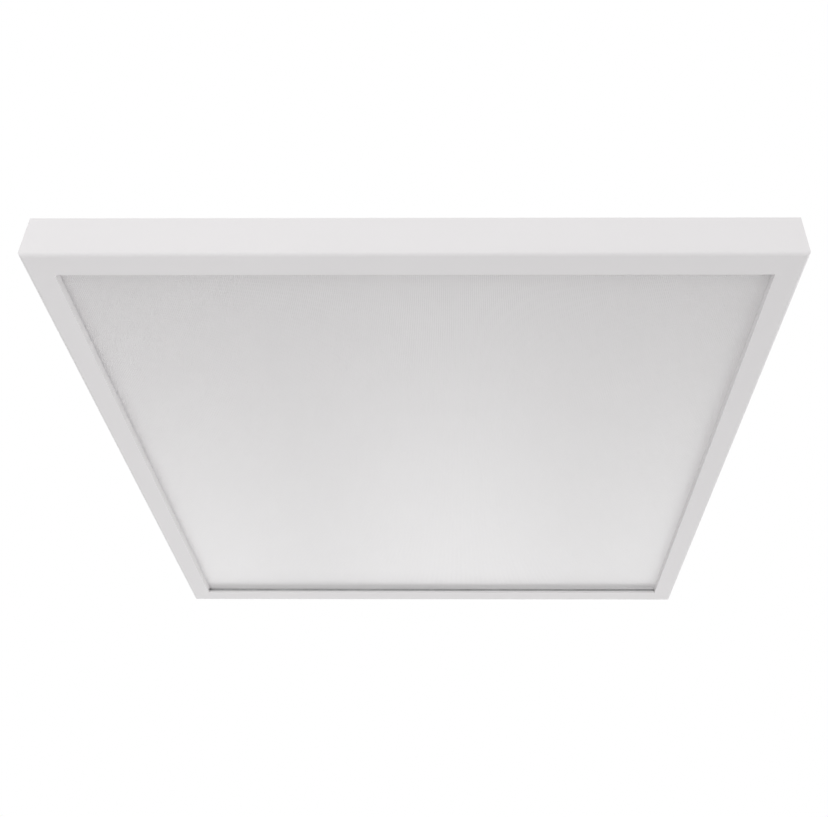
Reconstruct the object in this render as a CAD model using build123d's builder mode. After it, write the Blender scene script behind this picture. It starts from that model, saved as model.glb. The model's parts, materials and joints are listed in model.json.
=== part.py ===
from build123d import *
import os

# A square LED panel for surface mounting on a ceiling.
# Millimetres. The origin is the centre of the ceiling plane, +Z is up, and the luminaire hangs below Z = 0.
# The near side looks along -Y. The panel module slides out at the far side, along +Y.

os.makedirs("parts", exist_ok=True)

# Mounting frame: four mitred extrusions round the panel module
WIDTH = 600.0
HEIGHT = 40.0
WALL = 1.6
BEZEL_WIDTH = 21.5
BEZEL_THICKNESS = 1.6
LIP_THICKNESS = 1.4
LIP_HEIGHT = 5.6
END_LIP_HEIGHT = 2.4
EDGE_RADIUS = 3.0
CEILING_FLANGE = 14.0
FLANGE_THICKNESS = 1.6
MITRE_GAP = 0.1

# Channel under the ceiling flange that holds the corner keys
CHANNEL_DEPTH = 2.4
CHANNEL_HEIGHT = 12.0
CHANNEL_RIB = 1.2
CHANNEL_LIP = 2.0
CHANNEL_NOTCH = 62.0

# Corner keys
KEY_THICKNESS = 2.2
KEY_HEIGHT = 11.8
KEY_LEG = 60.0
KEY_EAR = 56.0
KEY_BEND = 3.2
GRUB_STEPS = (22.0, 46.0)
GRUB_RADIUS = 2.0
GRUB_LENGTH = 3.0
END_SCREW_STEPS = (22.0, 44.0)
END_SCREW_RADIUS = 1.5
END_SCREW_HEAD = 2.8
END_SCREW_LENGTH = 6.0

# Seal strip behind the end rail's lip
SEAL_WIDTH = 6.0
SEAL_SIDE_GAP = 0.6
SEAL_ROUNDING = 0.8

# Ceiling brackets
BRACKET_LENGTH = 50.0
BRACKET_THICKNESS = 2.0
BRACKET_OUTER = 294.4
BRACKET_INNER = 254.0
BRACKET_STEP = 285.6
BRACKET_STEP_SHIFT = 0.8
BRACKET_CORNER = 6.0
BRACKET_Y = 200.0
SLOT_X = 268.0
SLOT_RADIUS = 2.6
SLOT_LENGTH = 12.0
RIVET_X = 290.4
RIVET_RADIUS = 1.6
RIVET_HEAD = 2.8
RIVET_FORMED_HEIGHT = 1.0
RIVET_SPACING = 30.0

# Panel module
MODULE_WIDTH = 595.0
MODULE_HEIGHT = 10.0
MODULE_GAP = 0.1
MODULE_WALL = 1.2
MODULE_BEZEL = 19.0
MODULE_BEZEL_THICKNESS = 0.8
MODULE_FLANGE = 11.0
MODULE_FLANGE_THICKNESS = 1.0
BACK_PLATE_THICKNESS = 0.7
DIFFUSER_THICKNESS = 1.5
LIGHT_GUIDE_THICKNESS = 3.0
REFLECTOR_THICKNESS = 0.3
CORNER_PLATE_THICKNESS = 1.2
CORNER_PLATE_LEG = 40.0
CORNER_PLATE_WIDTH = 9.0
PLATE_SCREW_INSET = 6.5
PLATE_SCREW_STEPS = (-267.5, -90.0, 90.0, 267.5)
PLATE_SCREW_RADIUS = 1.25
PLATE_SCREW_LENGTH = 3.3
PLATE_SCREW_HEAD = 2.4
PLATE_SCREW_HEAD_HEIGHT = 1.4

# LED boards along the left and right edges
LED_BOARD_THICKNESS = 1.0
LED_BOARD_HEIGHT = 7.0
LED_BOARD_LENGTH = 560.0
LED_COUNT = 80
LED_PITCH = 6.9
LED_LENGTH = 4.0
LED_DEPTH = 0.8
LED_HEIGHT = 1.4
LED_AIR_GAP = 0.6
LINK_RADIUS = 0.8
LINK_BEND = 2.5

# Driver on the back plate
DRIVER_Y = 190.0
DRIVER_LENGTH = 150.0
DRIVER_WIDTH = 44.0
DRIVER_HEIGHT = 20.0
DRIVER_WALL = 1.8
DRIVER_BASE_HEIGHT = 11.0
DRIVER_CORNER = 2.0
CHAMBER_LENGTH = 39.0
FOOT_LENGTH = 12.0
FOOT_WIDTH = 16.0
FOOT_THICKNESS = 2.0
FOOT_SCREW_RADIUS = 1.9
FOOT_SCREW_LENGTH = 3.4
FOOT_SCREW_HEAD = 3.6
FOOT_SCREW_HEAD_HEIGHT = 1.8
COVER_ROUNDING = 1.0
INLET_WIDTH = 10.0
SADDLE_HEIGHT = 5.4
SADDLE_LENGTH = 4.0
SADDLE_WIDTH = 14.0
CLAMP_POST_SPACING = 23.0
CLAMP_POST_RADIUS = 3.0
CLAMP_POST_HEIGHT = 11.9
CLAMP_THICKNESS = 2.2
CLAMP_LENGTH = 7.0
CLAMP_WIDTH = 29.0
CLAMP_SCREW_RADIUS = 1.4
CLAMP_SCREW_LENGTH = 9.0
CLAMP_SCREW_HEAD = 2.6
CLAMP_SCREW_HEAD_HEIGHT = 1.4

# Circuit board in the driver
BOARD_LENGTH = 105.0
BOARD_WIDTH = 38.0
BOARD_THICKNESS = 1.6
BOARD_RAISE = 2.3
BOARD_POST_RADIUS = 2.5
CORE_LENGTH = 22.0
CORE_WIDTH = 10.0
CORE_HEIGHT = 11.5
CORE_YOKE = 2.0
CORE_OUTER_LIMB = 3.0
CORE_MIDDLE_LIMB = 6.0
WINDING_LENGTH = 15.2
WINDING_WIDTH = 17.0
WINDING_CORNER = 3.0
CHOKE_RADIUS = 5.5
CHOKE_WAIST = 4.2
CHOKE_HEIGHT = 9.0
CHOKE_CHEEK = 1.6
BULK_CAPACITOR_RADIUS = 5.0
BULK_CAPACITOR_HEIGHT = 11.5
OUTPUT_CAPACITOR_RADIUS = 4.0
OUTPUT_CAPACITOR_HEIGHT = 11.0

# Terminal block and its release buttons
POLE_PITCH = 7.5
BLOCK_LENGTH = 14.0
BLOCK_WIDTH = 26.0
BLOCK_HEIGHT = 13.2
BLOCK_ROOF = 3.0
WIRE_HOLE_RADIUS = 1.7
POLE_CAVITY_LENGTH = 9.0
POLE_CAVITY_WIDTH = 5.8
CONTACT_WIDTH = 3.6
CONTACT_THICKNESS = 0.5
LEAF_THICKNESS = 0.4
BUTTON_LENGTH = 4.4
BUTTON_WIDTH = 2.8
BUTTON_RISE = 2.2
BUTTON_HEIGHT = 7.0
BUTTON_GAP = 0.2

# Hinge of the terminal cover
HINGE_RADIUS = 1.5
HINGE_PIN = 1.0
HINGE_RUNNING_GAP = 0.08
HINGE_SIDE_GAP = 0.3
EAR_LENGTH = 4.2

# Leads and their connector
DRIVER_LEAD_RADIUS = 2.5
PANEL_LEAD_RADIUS = 1.1
CONNECTOR_RADIUS = 6.4
CONNECTOR_X = 150.0
CONNECTOR_HALF = 26.0
GROMMET_X = 282.0
GROMMET_Y = 170.0
GROMMET_RADIUS = 3.2
GROMMET_BORE = 1.7
GROMMET_RIM = 1.2
GROMMET_RIM_HEIGHT = 0.8
OUTLET_RADIUS = 3.5
OUTLET_FLANGE = 4.6
OUTLET_FLANGE_LENGTH = 2.0
OUTLET_SLEEVE_TIP = 3.3
OUTLET_SLEEVE_LENGTH = 10.0
BORE_GAP = 0.05
SPIGOT_RADIUS = 2.7
SPIGOT_LENGTH = 9.0
TAIL_BORE_LENGTH = 6.0
TAIL_TAPER_LENGTH = 8.0
TAIL_WALL = 1.6
CLIP_LENGTH = 8.0
CLIP_WIDTH = 9.0
CLIP_HEIGHT = 3.4
CLIP_ROUNDING = 1.5

# Places worked out from the sizes above
HALF = WIDTH / 2
FACE_Z = -HEIGHT
INNER_WALL = HALF - WALL
LIP_INNER = HALF - BEZEL_WIDTH
CHANNEL_MOUTH = INNER_WALL - CHANNEL_DEPTH
CHANNEL_FLOOR_Z = -FLANGE_THICKNESS - CHANNEL_HEIGHT
KEY_Z = -FLANGE_THICKNESS - CHANNEL_HEIGHT / 2
KEY_FACE = INNER_WALL - 0.1

MODULE_HALF = MODULE_WIDTH / 2
MODULE_Z = FACE_Z + LIP_HEIGHT + MODULE_GAP
MODULE_TOP = MODULE_Z + MODULE_HEIGHT
DIFFUSER_Z = MODULE_Z + MODULE_BEZEL_THICKNESS
GUIDE_Z = DIFFUSER_Z + DIFFUSER_THICKNESS
REFLECTOR_Z = GUIDE_Z + LIGHT_GUIDE_THICKNESS
FOAM_Z = REFLECTOR_Z + REFLECTOR_THICKNESS
PLATE_Z = MODULE_TOP - BACK_PLATE_THICKNESS
FLANGE_Z = PLATE_Z - MODULE_FLANGE_THICKNESS
PLATE_HALF = MODULE_HALF - MODULE_WALL - 0.1
FOAM_HALF = MODULE_HALF - MODULE_FLANGE - 1.0
LED_BOARD_FACE = MODULE_HALF - MODULE_WALL - LED_BOARD_THICKNESS
LED_BOARD_Z = FLANGE_Z - 0.1 - LED_BOARD_HEIGHT / 2
GUIDE_HALF_X = LED_BOARD_FACE - LED_DEPTH - LED_AIR_GAP
GUIDE_HALF_Y = MODULE_HALF - 5.0
DIFFUSER_HALF_Y = MODULE_HALF - 2.0
LED_Z = GUIDE_Z + LIGHT_GUIDE_THICKNESS / 2

DRIVER_FLOOR = MODULE_TOP
DRIVER_TOP = DRIVER_FLOOR + DRIVER_HEIGHT
SPLIT_Z = DRIVER_FLOOR + DRIVER_BASE_HEIGHT
DRIVER_LEFT = -DRIVER_LENGTH / 2
DRIVER_RIGHT = DRIVER_LENGTH / 2
DRIVER_NEAR = DRIVER_Y - DRIVER_WIDTH / 2
DRIVER_FAR = DRIVER_Y + DRIVER_WIDTH / 2
CHAMBER_END = DRIVER_LEFT + CHAMBER_LENGTH
INSIDE_FLOOR = DRIVER_FLOOR + DRIVER_WALL
FOOT_SCREW_X = DRIVER_RIGHT + FOOT_LENGTH / 2
INLET_BOTTOM = SPLIT_Z - 4.0
INLET_TOP = SPLIT_Z + 3.0
CLAMP_X = DRIVER_LEFT + 9.0
CLAMP_Z = INSIDE_FLOOR + CLAMP_POST_HEIGHT
CLAMP_SCREW_Z = CLAMP_Z + CLAMP_THICKNESS
BOARD_Z = INSIDE_FLOOR + BOARD_RAISE
BOARD_TOP = BOARD_Z + BOARD_THICKNESS
BOARD_X = CHAMBER_END + 2.0 + BOARD_LENGTH / 2
HINGE_X = CHAMBER_END - DRIVER_WALL
HINGE_Z = DRIVER_TOP - HINGE_RADIUS
EAR_X = CHAMBER_END - EAR_LENGTH
BLOCK_X = CHAMBER_END - 14.0
BLOCK_TOP = INSIDE_FLOOR + BLOCK_HEIGHT
CAVITY_FLOOR = INSIDE_FLOOR + DRIVER_WALL
CAVITY_TOP = BLOCK_TOP - BLOCK_ROOF
ENTRY_Z = INSIDE_FLOOR + 5.7
BUTTON_TOP = BLOCK_TOP + BUTTON_RISE
POLES = {
    "live": DRIVER_Y - POLE_PITCH,
    "neutral": DRIVER_Y,
    "earth": DRIVER_Y + POLE_PITCH,
}
OUTLET_START = (DRIVER_RIGHT - 2 * DRIVER_WALL, DRIVER_Y, SPLIT_Z)
OUTLET_END = (DRIVER_RIGHT + 2 * DRIVER_WALL, DRIVER_Y, SPLIT_Z)
CONNECTOR_Z = DRIVER_FLOOR + CONNECTOR_RADIUS + 0.2
PANEL_LEAD_Z = DRIVER_FLOOR + PANEL_LEAD_RADIUS + 0.1
UNDER_FLANGE_Z = FLANGE_Z - PANEL_LEAD_RADIUS - 0.15
CLIP_PLACES = ((222.0, DRIVER_Y), (274.0, GROMMET_Y))

STANDING = (Align.CENTER, Align.CENTER, Align.MIN)
HANGING = (Align.CENTER, Align.CENTER, Align.MAX)
SIDES = {"left": -1, "right": 1}
CORNERS = {
    "near_left": (-1, -1),
    "near_right": (1, -1),
    "far_left": (-1, 1),
    "far_right": (1, 1),
}
RAIL_TURNS = {"near": 270, "left": 180, "right": 0, "far": 90}


def save(part, name):
    """Labels a finished piece and writes its file."""
    part.label = name
    export_step(part, f"parts/{name}.step")


def rail_plane(turn):
    """Section plane of a rail whose outer face looks along turn degrees: x is outwards, y is up."""
    outward = Vector(1, 0, 0).rotate(Axis.Z, turn)
    return Plane(origin=(0, 0, 0), x_dir=outward, z_dir=outward.cross(Vector(0, 0, 1)))


def cut_mitres(turn, gap=0.0):
    """Cuts both ends of the rail in the open part at 45 degrees, drawn back by gap."""
    for side in (-45, 45):
        normal = Vector(1, 0, 0).rotate(Axis.Z, turn + side)
        split(bisect_by=Plane(origin=normal * gap, x_dir=(0, 0, 1), z_dir=normal), keep=Keep.TOP)


def block(low, high, mode=Mode.ADD):
    """A rectangular block between two corners."""
    size = [top - bottom for bottom, top in zip(low, high)]
    centre = tuple((top + bottom) / 2 for bottom, top in zip(low, high))
    with Locations(Location(centre)):
        Box(*size, mode=mode)


def bar_section(left, right, bottom, top):
    """A rectangle in a sketch, given by its sides."""
    with Locations(((left + right) / 2, (bottom + top) / 2)):
        Rectangle(right - left, top - bottom)


def rod(start, end, radius, mode=Mode.ADD):
    """A round rod between two points."""
    line = Vector(*end) - Vector(*start)
    with BuildSketch(Plane(origin=start, z_dir=line)) as section:
        Circle(radius)
    extrude(section.sketch, amount=line.length, mode=mode)


def frame_rail(turn, lip_height, mitre_gap=0.0):
    """One extrusion of the mounting frame, mitred at both ends, in the open part."""
    with BuildSketch(rail_plane(turn)) as section:
        bar_section(INNER_WALL, HALF, FACE_Z, 0)
        bar_section(LIP_INNER, HALF, FACE_Z, FACE_Z + BEZEL_THICKNESS)
        bar_section(LIP_INNER, LIP_INNER + LIP_THICKNESS, FACE_Z, FACE_Z + lip_height)
        bar_section(HALF - CEILING_FLANGE, HALF, -FLANGE_THICKNESS, 0)
        lip_left = CHANNEL_MOUTH - CHANNEL_RIB
        bar_section(lip_left, INNER_WALL, CHANNEL_FLOOR_Z - CHANNEL_RIB, CHANNEL_FLOOR_Z)
        bar_section(lip_left, CHANNEL_MOUTH, CHANNEL_FLOOR_Z, CHANNEL_FLOOR_Z + CHANNEL_LIP)
        bar_section(lip_left, CHANNEL_MOUTH, -FLANGE_THICKNESS - CHANNEL_LIP, -FLANGE_THICKNESS)
        outer_edge = vertices().sort_by_distance((HALF, FACE_Z, 0))[0]
        inner_edge = vertices().sort_by_distance((INNER_WALL, FACE_Z + BEZEL_THICKNESS, 0))[0]
        fillet(outer_edge, EDGE_RADIUS)
        fillet(inner_edge, EDGE_RADIUS - WALL)
    extrude(section.sketch, amount=HALF, both=True)
    cut_mitres(turn, mitre_gap)


def module_rail(turn):
    """One extrusion of the panel module's own slim frame, in the open part."""
    with BuildSketch(rail_plane(turn)) as section:
        bar_section(MODULE_HALF - MODULE_WALL, MODULE_HALF, MODULE_Z, MODULE_TOP)
        bar_section(MODULE_HALF - MODULE_BEZEL, MODULE_HALF, MODULE_Z, DIFFUSER_Z)
        bar_section(MODULE_HALF - MODULE_FLANGE, MODULE_HALF, FLANGE_Z, PLATE_Z)
        lower_edge = vertices().sort_by_distance((MODULE_HALF, MODULE_Z, 0))[0]
        fillet(lower_edge, MODULE_BEZEL_THICKNESS / 2)
    extrude(section.sketch, amount=MODULE_HALF, both=True)
    cut_mitres(turn)


def cross_recess(size, depth):
    """A cross-shaped driver recess in the open part, sunk from the present location."""
    Box(size, size / 4, 2 * depth, mode=Mode.SUBTRACT)
    Box(size / 4, size, 2 * depth, mode=Mode.SUBTRACT)


def pan_screw(radius, length, head_radius, head_height):
    """A screw with a domed head. The head's underside is at the origin and the shank points down."""
    with BuildPart() as screw:
        with BuildSketch(Plane.XZ):
            with BuildLine():
                Polyline((0, head_height), (0, -length), (radius, -length), (radius, 0), (head_radius, 0))
                Line((head_radius, 0), (head_radius, head_height * 0.4))
                ThreePointArc(
                    (head_radius, head_height * 0.4),
                    (head_radius * 0.62, head_height * 0.88),
                    (0, head_height),
                )
            make_face()
        revolve(axis=Axis.Z)
        with Locations((0, 0, head_height)):
            cross_recess(head_radius * 1.1, head_height * 0.6)
    return screw.part


def countersunk_screw(radius, length, head_radius):
    """A flat-headed screw. The head's top is at the origin and the shank points down."""
    with BuildPart() as screw:
        with BuildSketch(Plane.XZ):
            with BuildLine():
                Polyline(
                    (0, 0),
                    (0, -length),
                    (radius, -length),
                    (radius, radius - head_radius),
                    (head_radius, 0),
                    close=True,
                )
            make_face()
        revolve(axis=Axis.Z)
        cross_recess(head_radius * 1.1, head_radius * 0.4)
    return screw.part


def grub_screw():
    """A headless screw with a hexagonal socket in its upper end, which is at the origin."""
    with BuildPart() as screw:
        Cylinder(GRUB_RADIUS, GRUB_LENGTH, align=HANGING)
        with BuildSketch():
            RegularPolygon(GRUB_RADIUS / 2, 6)
        extrude(amount=-GRUB_LENGTH / 2, mode=Mode.SUBTRACT)
    return screw.part


def bracket_rivet():
    """A flush-headed rivet through the ceiling flange and a bracket, with its formed head below."""
    formed_z = -FLANGE_THICKNESS - BRACKET_THICKNESS
    with BuildPart() as rivet:
        with BuildSketch(Plane.XZ):
            with BuildLine():
                Polyline(
                    (0, 0),
                    (RIVET_HEAD, 0),
                    (RIVET_RADIUS, RIVET_RADIUS - RIVET_HEAD),
                    (RIVET_RADIUS, formed_z),
                    (RIVET_HEAD, formed_z),
                    (RIVET_HEAD * 0.8, formed_z - RIVET_FORMED_HEIGHT * 0.7),
                    (0, formed_z - RIVET_FORMED_HEIGHT),
                    close=True,
                )
            make_face()
        revolve(axis=Axis.Z)
    return rivet.part


def key_locations(corner, steps, along):
    """Places of screws on a corner key's leg, on the key's inner side, facing the rail's wall."""
    side_x, side_y = CORNERS[corner]
    places = []
    for step in steps:
        if along == "x":
            origin = (side_x * (KEY_FACE - step), side_y * INNER_WALL, KEY_Z)
            outward = (0, side_y, 0)
        else:
            origin = (side_x * INNER_WALL, side_y * (KEY_FACE - step), KEY_Z)
            outward = (side_x, 0, 0)
        places.append(Plane(origin=origin, z_dir=outward))
    return places


# Mounting frame rails

with BuildPart() as near_rail:
    frame_rail(RAIL_TURNS["near"], LIP_HEIGHT)
save(near_rail.part, "near_rail")

for side, direction in SIDES.items():
    rivet_places = [
        (direction * RIVET_X, y + step)
        for y in (-BRACKET_Y, BRACKET_Y)
        for step in (-RIVET_SPACING / 2, RIVET_SPACING / 2)
    ]
    with BuildPart() as side_rail:
        frame_rail(RAIL_TURNS[side], LIP_HEIGHT)
        with Locations(*rivet_places):
            CounterSinkHole(
                RIVET_RADIUS + 0.02,
                RIVET_HEAD,
                depth=2 * FLANGE_THICKNESS,
                counter_sink_angle=90,
            )
    save(side_rail.part, f"{side}_rail")

# End rail, which screws on at the far side and comes off to let the module out

end_screw_planes = [
    plane.offset(WALL)
    for corner in ("far_left", "far_right")
    for plane in key_locations(corner, END_SCREW_STEPS, "x")
]

with BuildPart() as end_rail:
    frame_rail(RAIL_TURNS["far"], END_LIP_HEIGHT, MITRE_GAP)
    for direction in SIDES.values():
        ends = sorted((direction * HALF, direction * (HALF - CHANNEL_NOTCH)))
        block(
            (ends[0], CHANNEL_MOUTH - CHANNEL_RIB - 1, CHANNEL_FLOOR_Z - CHANNEL_RIB),
            (ends[1], INNER_WALL, -FLANGE_THICKNESS),
            mode=Mode.SUBTRACT,
        )
    with Locations(*end_screw_planes):
        CounterSinkHole(
            END_SCREW_RADIUS + 0.1,
            END_SCREW_HEAD + 0.05,
            depth=4 * WALL,
            counter_sink_angle=90,
        )
save(end_rail.part, "end_rail")

# The seal stands behind the end rail's low lip and reaches up to the module
with BuildPart() as end_seal:
    seal_near = LIP_INNER + LIP_THICKNESS
    block(
        (SEAL_SIDE_GAP - LIP_INNER, seal_near, FACE_Z + BEZEL_THICKNESS),
        (LIP_INNER - SEAL_SIDE_GAP, seal_near + SEAL_WIDTH, MODULE_Z - MODULE_GAP),
    )
    fillet(end_seal.edges().filter_by(Axis.X).group_by(Axis.Z)[-1], SEAL_ROUNDING)
save(end_seal.part, "end_seal")

end_screw = countersunk_screw(END_SCREW_RADIUS, END_SCREW_LENGTH, END_SCREW_HEAD)
with BuildPart() as end_rail_screws:
    with Locations(*end_screw_planes):
        add(end_screw)
save(end_rail_screws.part, "end_rail_screws")

# Corner keys: bent steel, with a leg in each rail's channel. The far ones reach behind the end rail.

grub_planes = []
for corner, (side_x, side_y) in CORNERS.items():
    at_far = side_y > 0
    grubs_on_x = [] if at_far else key_locations(corner, GRUB_STEPS, "x")
    grubs_here = grubs_on_x + key_locations(corner, GRUB_STEPS, "y")
    ear_holes = key_locations(corner, END_SCREW_STEPS, "x") if at_far else []
    with BuildPart() as corner_key:
        with BuildSketch(Plane.XY.offset(KEY_Z - KEY_HEIGHT / 2)):
            leg_x = KEY_EAR if at_far else KEY_LEG
            with Locations((side_x * (KEY_FACE - leg_x / 2), side_y * (KEY_FACE - KEY_THICKNESS / 2))):
                Rectangle(leg_x, KEY_THICKNESS)
            with Locations((side_x * (KEY_FACE - KEY_THICKNESS / 2), side_y * (KEY_FACE - KEY_LEG / 2))):
                Rectangle(KEY_THICKNESS, KEY_LEG)
            bend_back = KEY_FACE - KEY_THICKNESS
            outer_bend = vertices().sort_by_distance((side_x * KEY_FACE, side_y * KEY_FACE, 0))[0]
            inner_bend = vertices().sort_by_distance((side_x * bend_back, side_y * bend_back, 0))[0]
            fillet(outer_bend, KEY_BEND)
            fillet(inner_bend, KEY_BEND - KEY_THICKNESS)
        extrude(amount=KEY_HEIGHT)
        with Locations(*grubs_here):
            Cylinder(GRUB_RADIUS + 0.05, 4 * KEY_THICKNESS, mode=Mode.SUBTRACT)
        if ear_holes:
            with Locations(*ear_holes):
                Cylinder(END_SCREW_RADIUS + 0.15, 4 * KEY_THICKNESS, mode=Mode.SUBTRACT)
    save(corner_key.part, f"corner_key_{corner}")
    grub_planes += grubs_here

# Each grub screw bears on its rail's wall, with its socket on the inner side
key_grub = grub_screw()
inward_planes = [Plane(origin=plane.origin, z_dir=-plane.z_dir) for plane in grub_planes]
with BuildPart() as key_grub_screws:
    with Locations(*[plane.offset(GRUB_LENGTH) for plane in inward_planes]):
        add(key_grub)
save(key_grub_screws.part, "key_grub_screws")

# Ceiling brackets: joggled steel plates riveted under the ceiling flange, with a slot for the ceiling screw

for corner, (side_x, side_y) in CORNERS.items():
    step_run = FLANGE_THICKNESS
    low_top = -FLANGE_THICKNESS
    centre_y = side_y * BRACKET_Y
    with BuildPart() as ceiling_bracket:
        with BuildSketch(rail_plane(0 if side_x > 0 else 180)):
            with BuildLine():
                Polyline(
                    (BRACKET_OUTER, low_top),
                    (BRACKET_STEP, low_top),
                    (BRACKET_STEP - step_run, 0),
                    (BRACKET_INNER, 0),
                    (BRACKET_INNER, -BRACKET_THICKNESS),
                    (BRACKET_STEP - BRACKET_STEP_SHIFT - step_run, -BRACKET_THICKNESS),
                    (BRACKET_STEP - BRACKET_STEP_SHIFT, low_top - BRACKET_THICKNESS),
                    (BRACKET_OUTER, low_top - BRACKET_THICKNESS),
                    close=True,
                )
            make_face()
        extrude(amount=BRACKET_Y + BRACKET_LENGTH, both=True)
        near_end = Plane(origin=(0, centre_y - BRACKET_LENGTH / 2, 0), z_dir=(0, 1, 0))
        split(bisect_by=near_end, keep=Keep.TOP)
        split(bisect_by=near_end.offset(BRACKET_LENGTH), keep=Keep.BOTTOM)
        tip_edges = ceiling_bracket.edges().filter_by(Axis.Z)
        tip_edges = tip_edges.filter_by(lambda edge: abs(abs(edge.center().X) - BRACKET_INNER) < 0.1)
        fillet(tip_edges, BRACKET_CORNER)
        with BuildSketch():
            with Locations((side_x * SLOT_X, centre_y)):
                SlotOverall(SLOT_LENGTH, 2 * SLOT_RADIUS)
        extrude(amount=-2 * BRACKET_THICKNESS, mode=Mode.SUBTRACT)
        with Locations((side_x * RIVET_X, centre_y)):
            with GridLocations(1, RIVET_SPACING, 1, 2):
                Cylinder(RIVET_RADIUS + 0.05, 6 * BRACKET_THICKNESS, mode=Mode.SUBTRACT)
    save(ceiling_bracket.part, f"ceiling_bracket_{corner}")

rivet = bracket_rivet()
with BuildPart() as bracket_rivets:
    for side_x, side_y in CORNERS.values():
        with Locations((side_x * RIVET_X, side_y * BRACKET_Y)):
            with GridLocations(1, RIVET_SPACING, 1, 2):
                add(rivet)
save(bracket_rivets.part, "bracket_rivets")

# Panel module: its own slim frame

plate_screw_line = MODULE_HALF - PLATE_SCREW_INSET
plate_screw_places = {
    "near": [(step, -plate_screw_line) for step in PLATE_SCREW_STEPS],
    "far": [(step, plate_screw_line) for step in PLATE_SCREW_STEPS],
    "left": [(-plate_screw_line, step) for step in PLATE_SCREW_STEPS],
    "right": [(plate_screw_line, step) for step in PLATE_SCREW_STEPS],
}
all_plate_screws = [place for places in plate_screw_places.values() for place in places]

for side, turn in RAIL_TURNS.items():
    with BuildPart() as module_side:
        module_rail(turn)
        with BuildSketch(Plane.XY.offset(PLATE_Z + 0.1)):
            with Locations(*plate_screw_places[side]):
                Circle(PLATE_SCREW_RADIUS + 0.05)
        extrude(amount=-2 * MODULE_FLANGE_THICKNESS, mode=Mode.SUBTRACT)
    save(module_side.part, f"module_rail_{side}")

for corner, (side_x, side_y) in CORNERS.items():
    plate_edge = LED_BOARD_FACE - 0.2
    with BuildPart() as corner_plate:
        with BuildSketch(Plane.XY.offset(FLANGE_Z)):
            long_middle = plate_edge - CORNER_PLATE_LEG / 2
            short_middle = plate_edge - CORNER_PLATE_WIDTH / 2
            with Locations((side_x * long_middle, side_y * short_middle)):
                Rectangle(CORNER_PLATE_LEG, CORNER_PLATE_WIDTH)
            with Locations((side_x * short_middle, side_y * long_middle)):
                Rectangle(CORNER_PLATE_WIDTH, CORNER_PLATE_LEG)
            with Locations(*all_plate_screws):
                Circle(PLATE_SCREW_RADIUS + 0.05, mode=Mode.SUBTRACT)
        extrude(amount=-CORNER_PLATE_THICKNESS)
    save(corner_plate.part, f"module_corner_plate_{corner}")

# Panel module: the optical stack, from below upwards

with BuildPart() as diffuser:
    block(
        (-GUIDE_HALF_X, -DIFFUSER_HALF_Y, DIFFUSER_Z),
        (GUIDE_HALF_X, DIFFUSER_HALF_Y, GUIDE_Z),
    )
save(diffuser.part, "diffuser")

with BuildPart() as light_guide:
    block(
        (-GUIDE_HALF_X, -GUIDE_HALF_Y, GUIDE_Z),
        (GUIDE_HALF_X, GUIDE_HALF_Y, REFLECTOR_Z),
    )
save(light_guide.part, "light_guide")

with BuildPart() as reflector_sheet:
    block(
        (-GUIDE_HALF_X, -GUIDE_HALF_Y, REFLECTOR_Z),
        (GUIDE_HALF_X, GUIDE_HALF_Y, FOAM_Z),
    )
save(reflector_sheet.part, "reflector_sheet")

foot_screw_places = [(direction * FOOT_SCREW_X, DRIVER_Y) for direction in SIDES.values()]

with BuildPart() as foam_pad:
    block((-FOAM_HALF, -FOAM_HALF, FOAM_Z), (FOAM_HALF, FOAM_HALF, PLATE_Z))
    block(
        (GROMMET_X - 6, GROMMET_Y - 6, FOAM_Z - 1),
        (FOAM_HALF + 1, GROMMET_Y + 6, PLATE_Z + 1),
        mode=Mode.SUBTRACT,
    )
    with BuildSketch(Plane.XY.offset(PLATE_Z)):
        with Locations(*foot_screw_places):
            Circle(FOOT_SCREW_RADIUS + 0.4)
    extrude(amount=FOAM_Z - PLATE_Z, mode=Mode.SUBTRACT)
save(foam_pad.part, "foam_pad")

with BuildPart() as back_plate:
    block((-PLATE_HALF, -PLATE_HALF, PLATE_Z), (PLATE_HALF, PLATE_HALF, MODULE_TOP))
    with BuildSketch(Plane.XY.offset(MODULE_TOP)):
        with Locations(*all_plate_screws):
            Circle(PLATE_SCREW_RADIUS + 0.15)
        with Locations(*foot_screw_places):
            Circle(FOOT_SCREW_RADIUS + 0.05)
        with Locations((GROMMET_X, GROMMET_Y)):
            Circle(GROMMET_RADIUS)
    extrude(amount=-BACK_PLATE_THICKNESS, mode=Mode.SUBTRACT)
save(back_plate.part, "back_plate")

plate_screw = pan_screw(PLATE_SCREW_RADIUS, PLATE_SCREW_LENGTH, PLATE_SCREW_HEAD, PLATE_SCREW_HEAD_HEIGHT)
with BuildPart() as back_plate_screws:
    with Locations(*[(x, y, MODULE_TOP) for x, y in all_plate_screws]):
        add(plate_screw)
save(back_plate_screws.part, "back_plate_screws")

# Panel module: LED boards, which shine into the light guide's left and right edges

for side, direction in SIDES.items():
    board_middle = LED_BOARD_FACE + LED_BOARD_THICKNESS / 2
    with BuildPart() as led_board:
        with Locations((direction * board_middle, 0, LED_BOARD_Z)):
            Box(LED_BOARD_THICKNESS, LED_BOARD_LENGTH, LED_BOARD_HEIGHT)
    save(led_board.part, f"led_board_{side}")

    with BuildPart() as leds:
        with Locations((direction * (LED_BOARD_FACE - LED_DEPTH / 2), 0, LED_Z)):
            with GridLocations(1, LED_PITCH, 1, LED_COUNT):
                Box(LED_DEPTH, LED_LENGTH, LED_HEIGHT)
    save(leds.part, f"leds_{side}")

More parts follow.
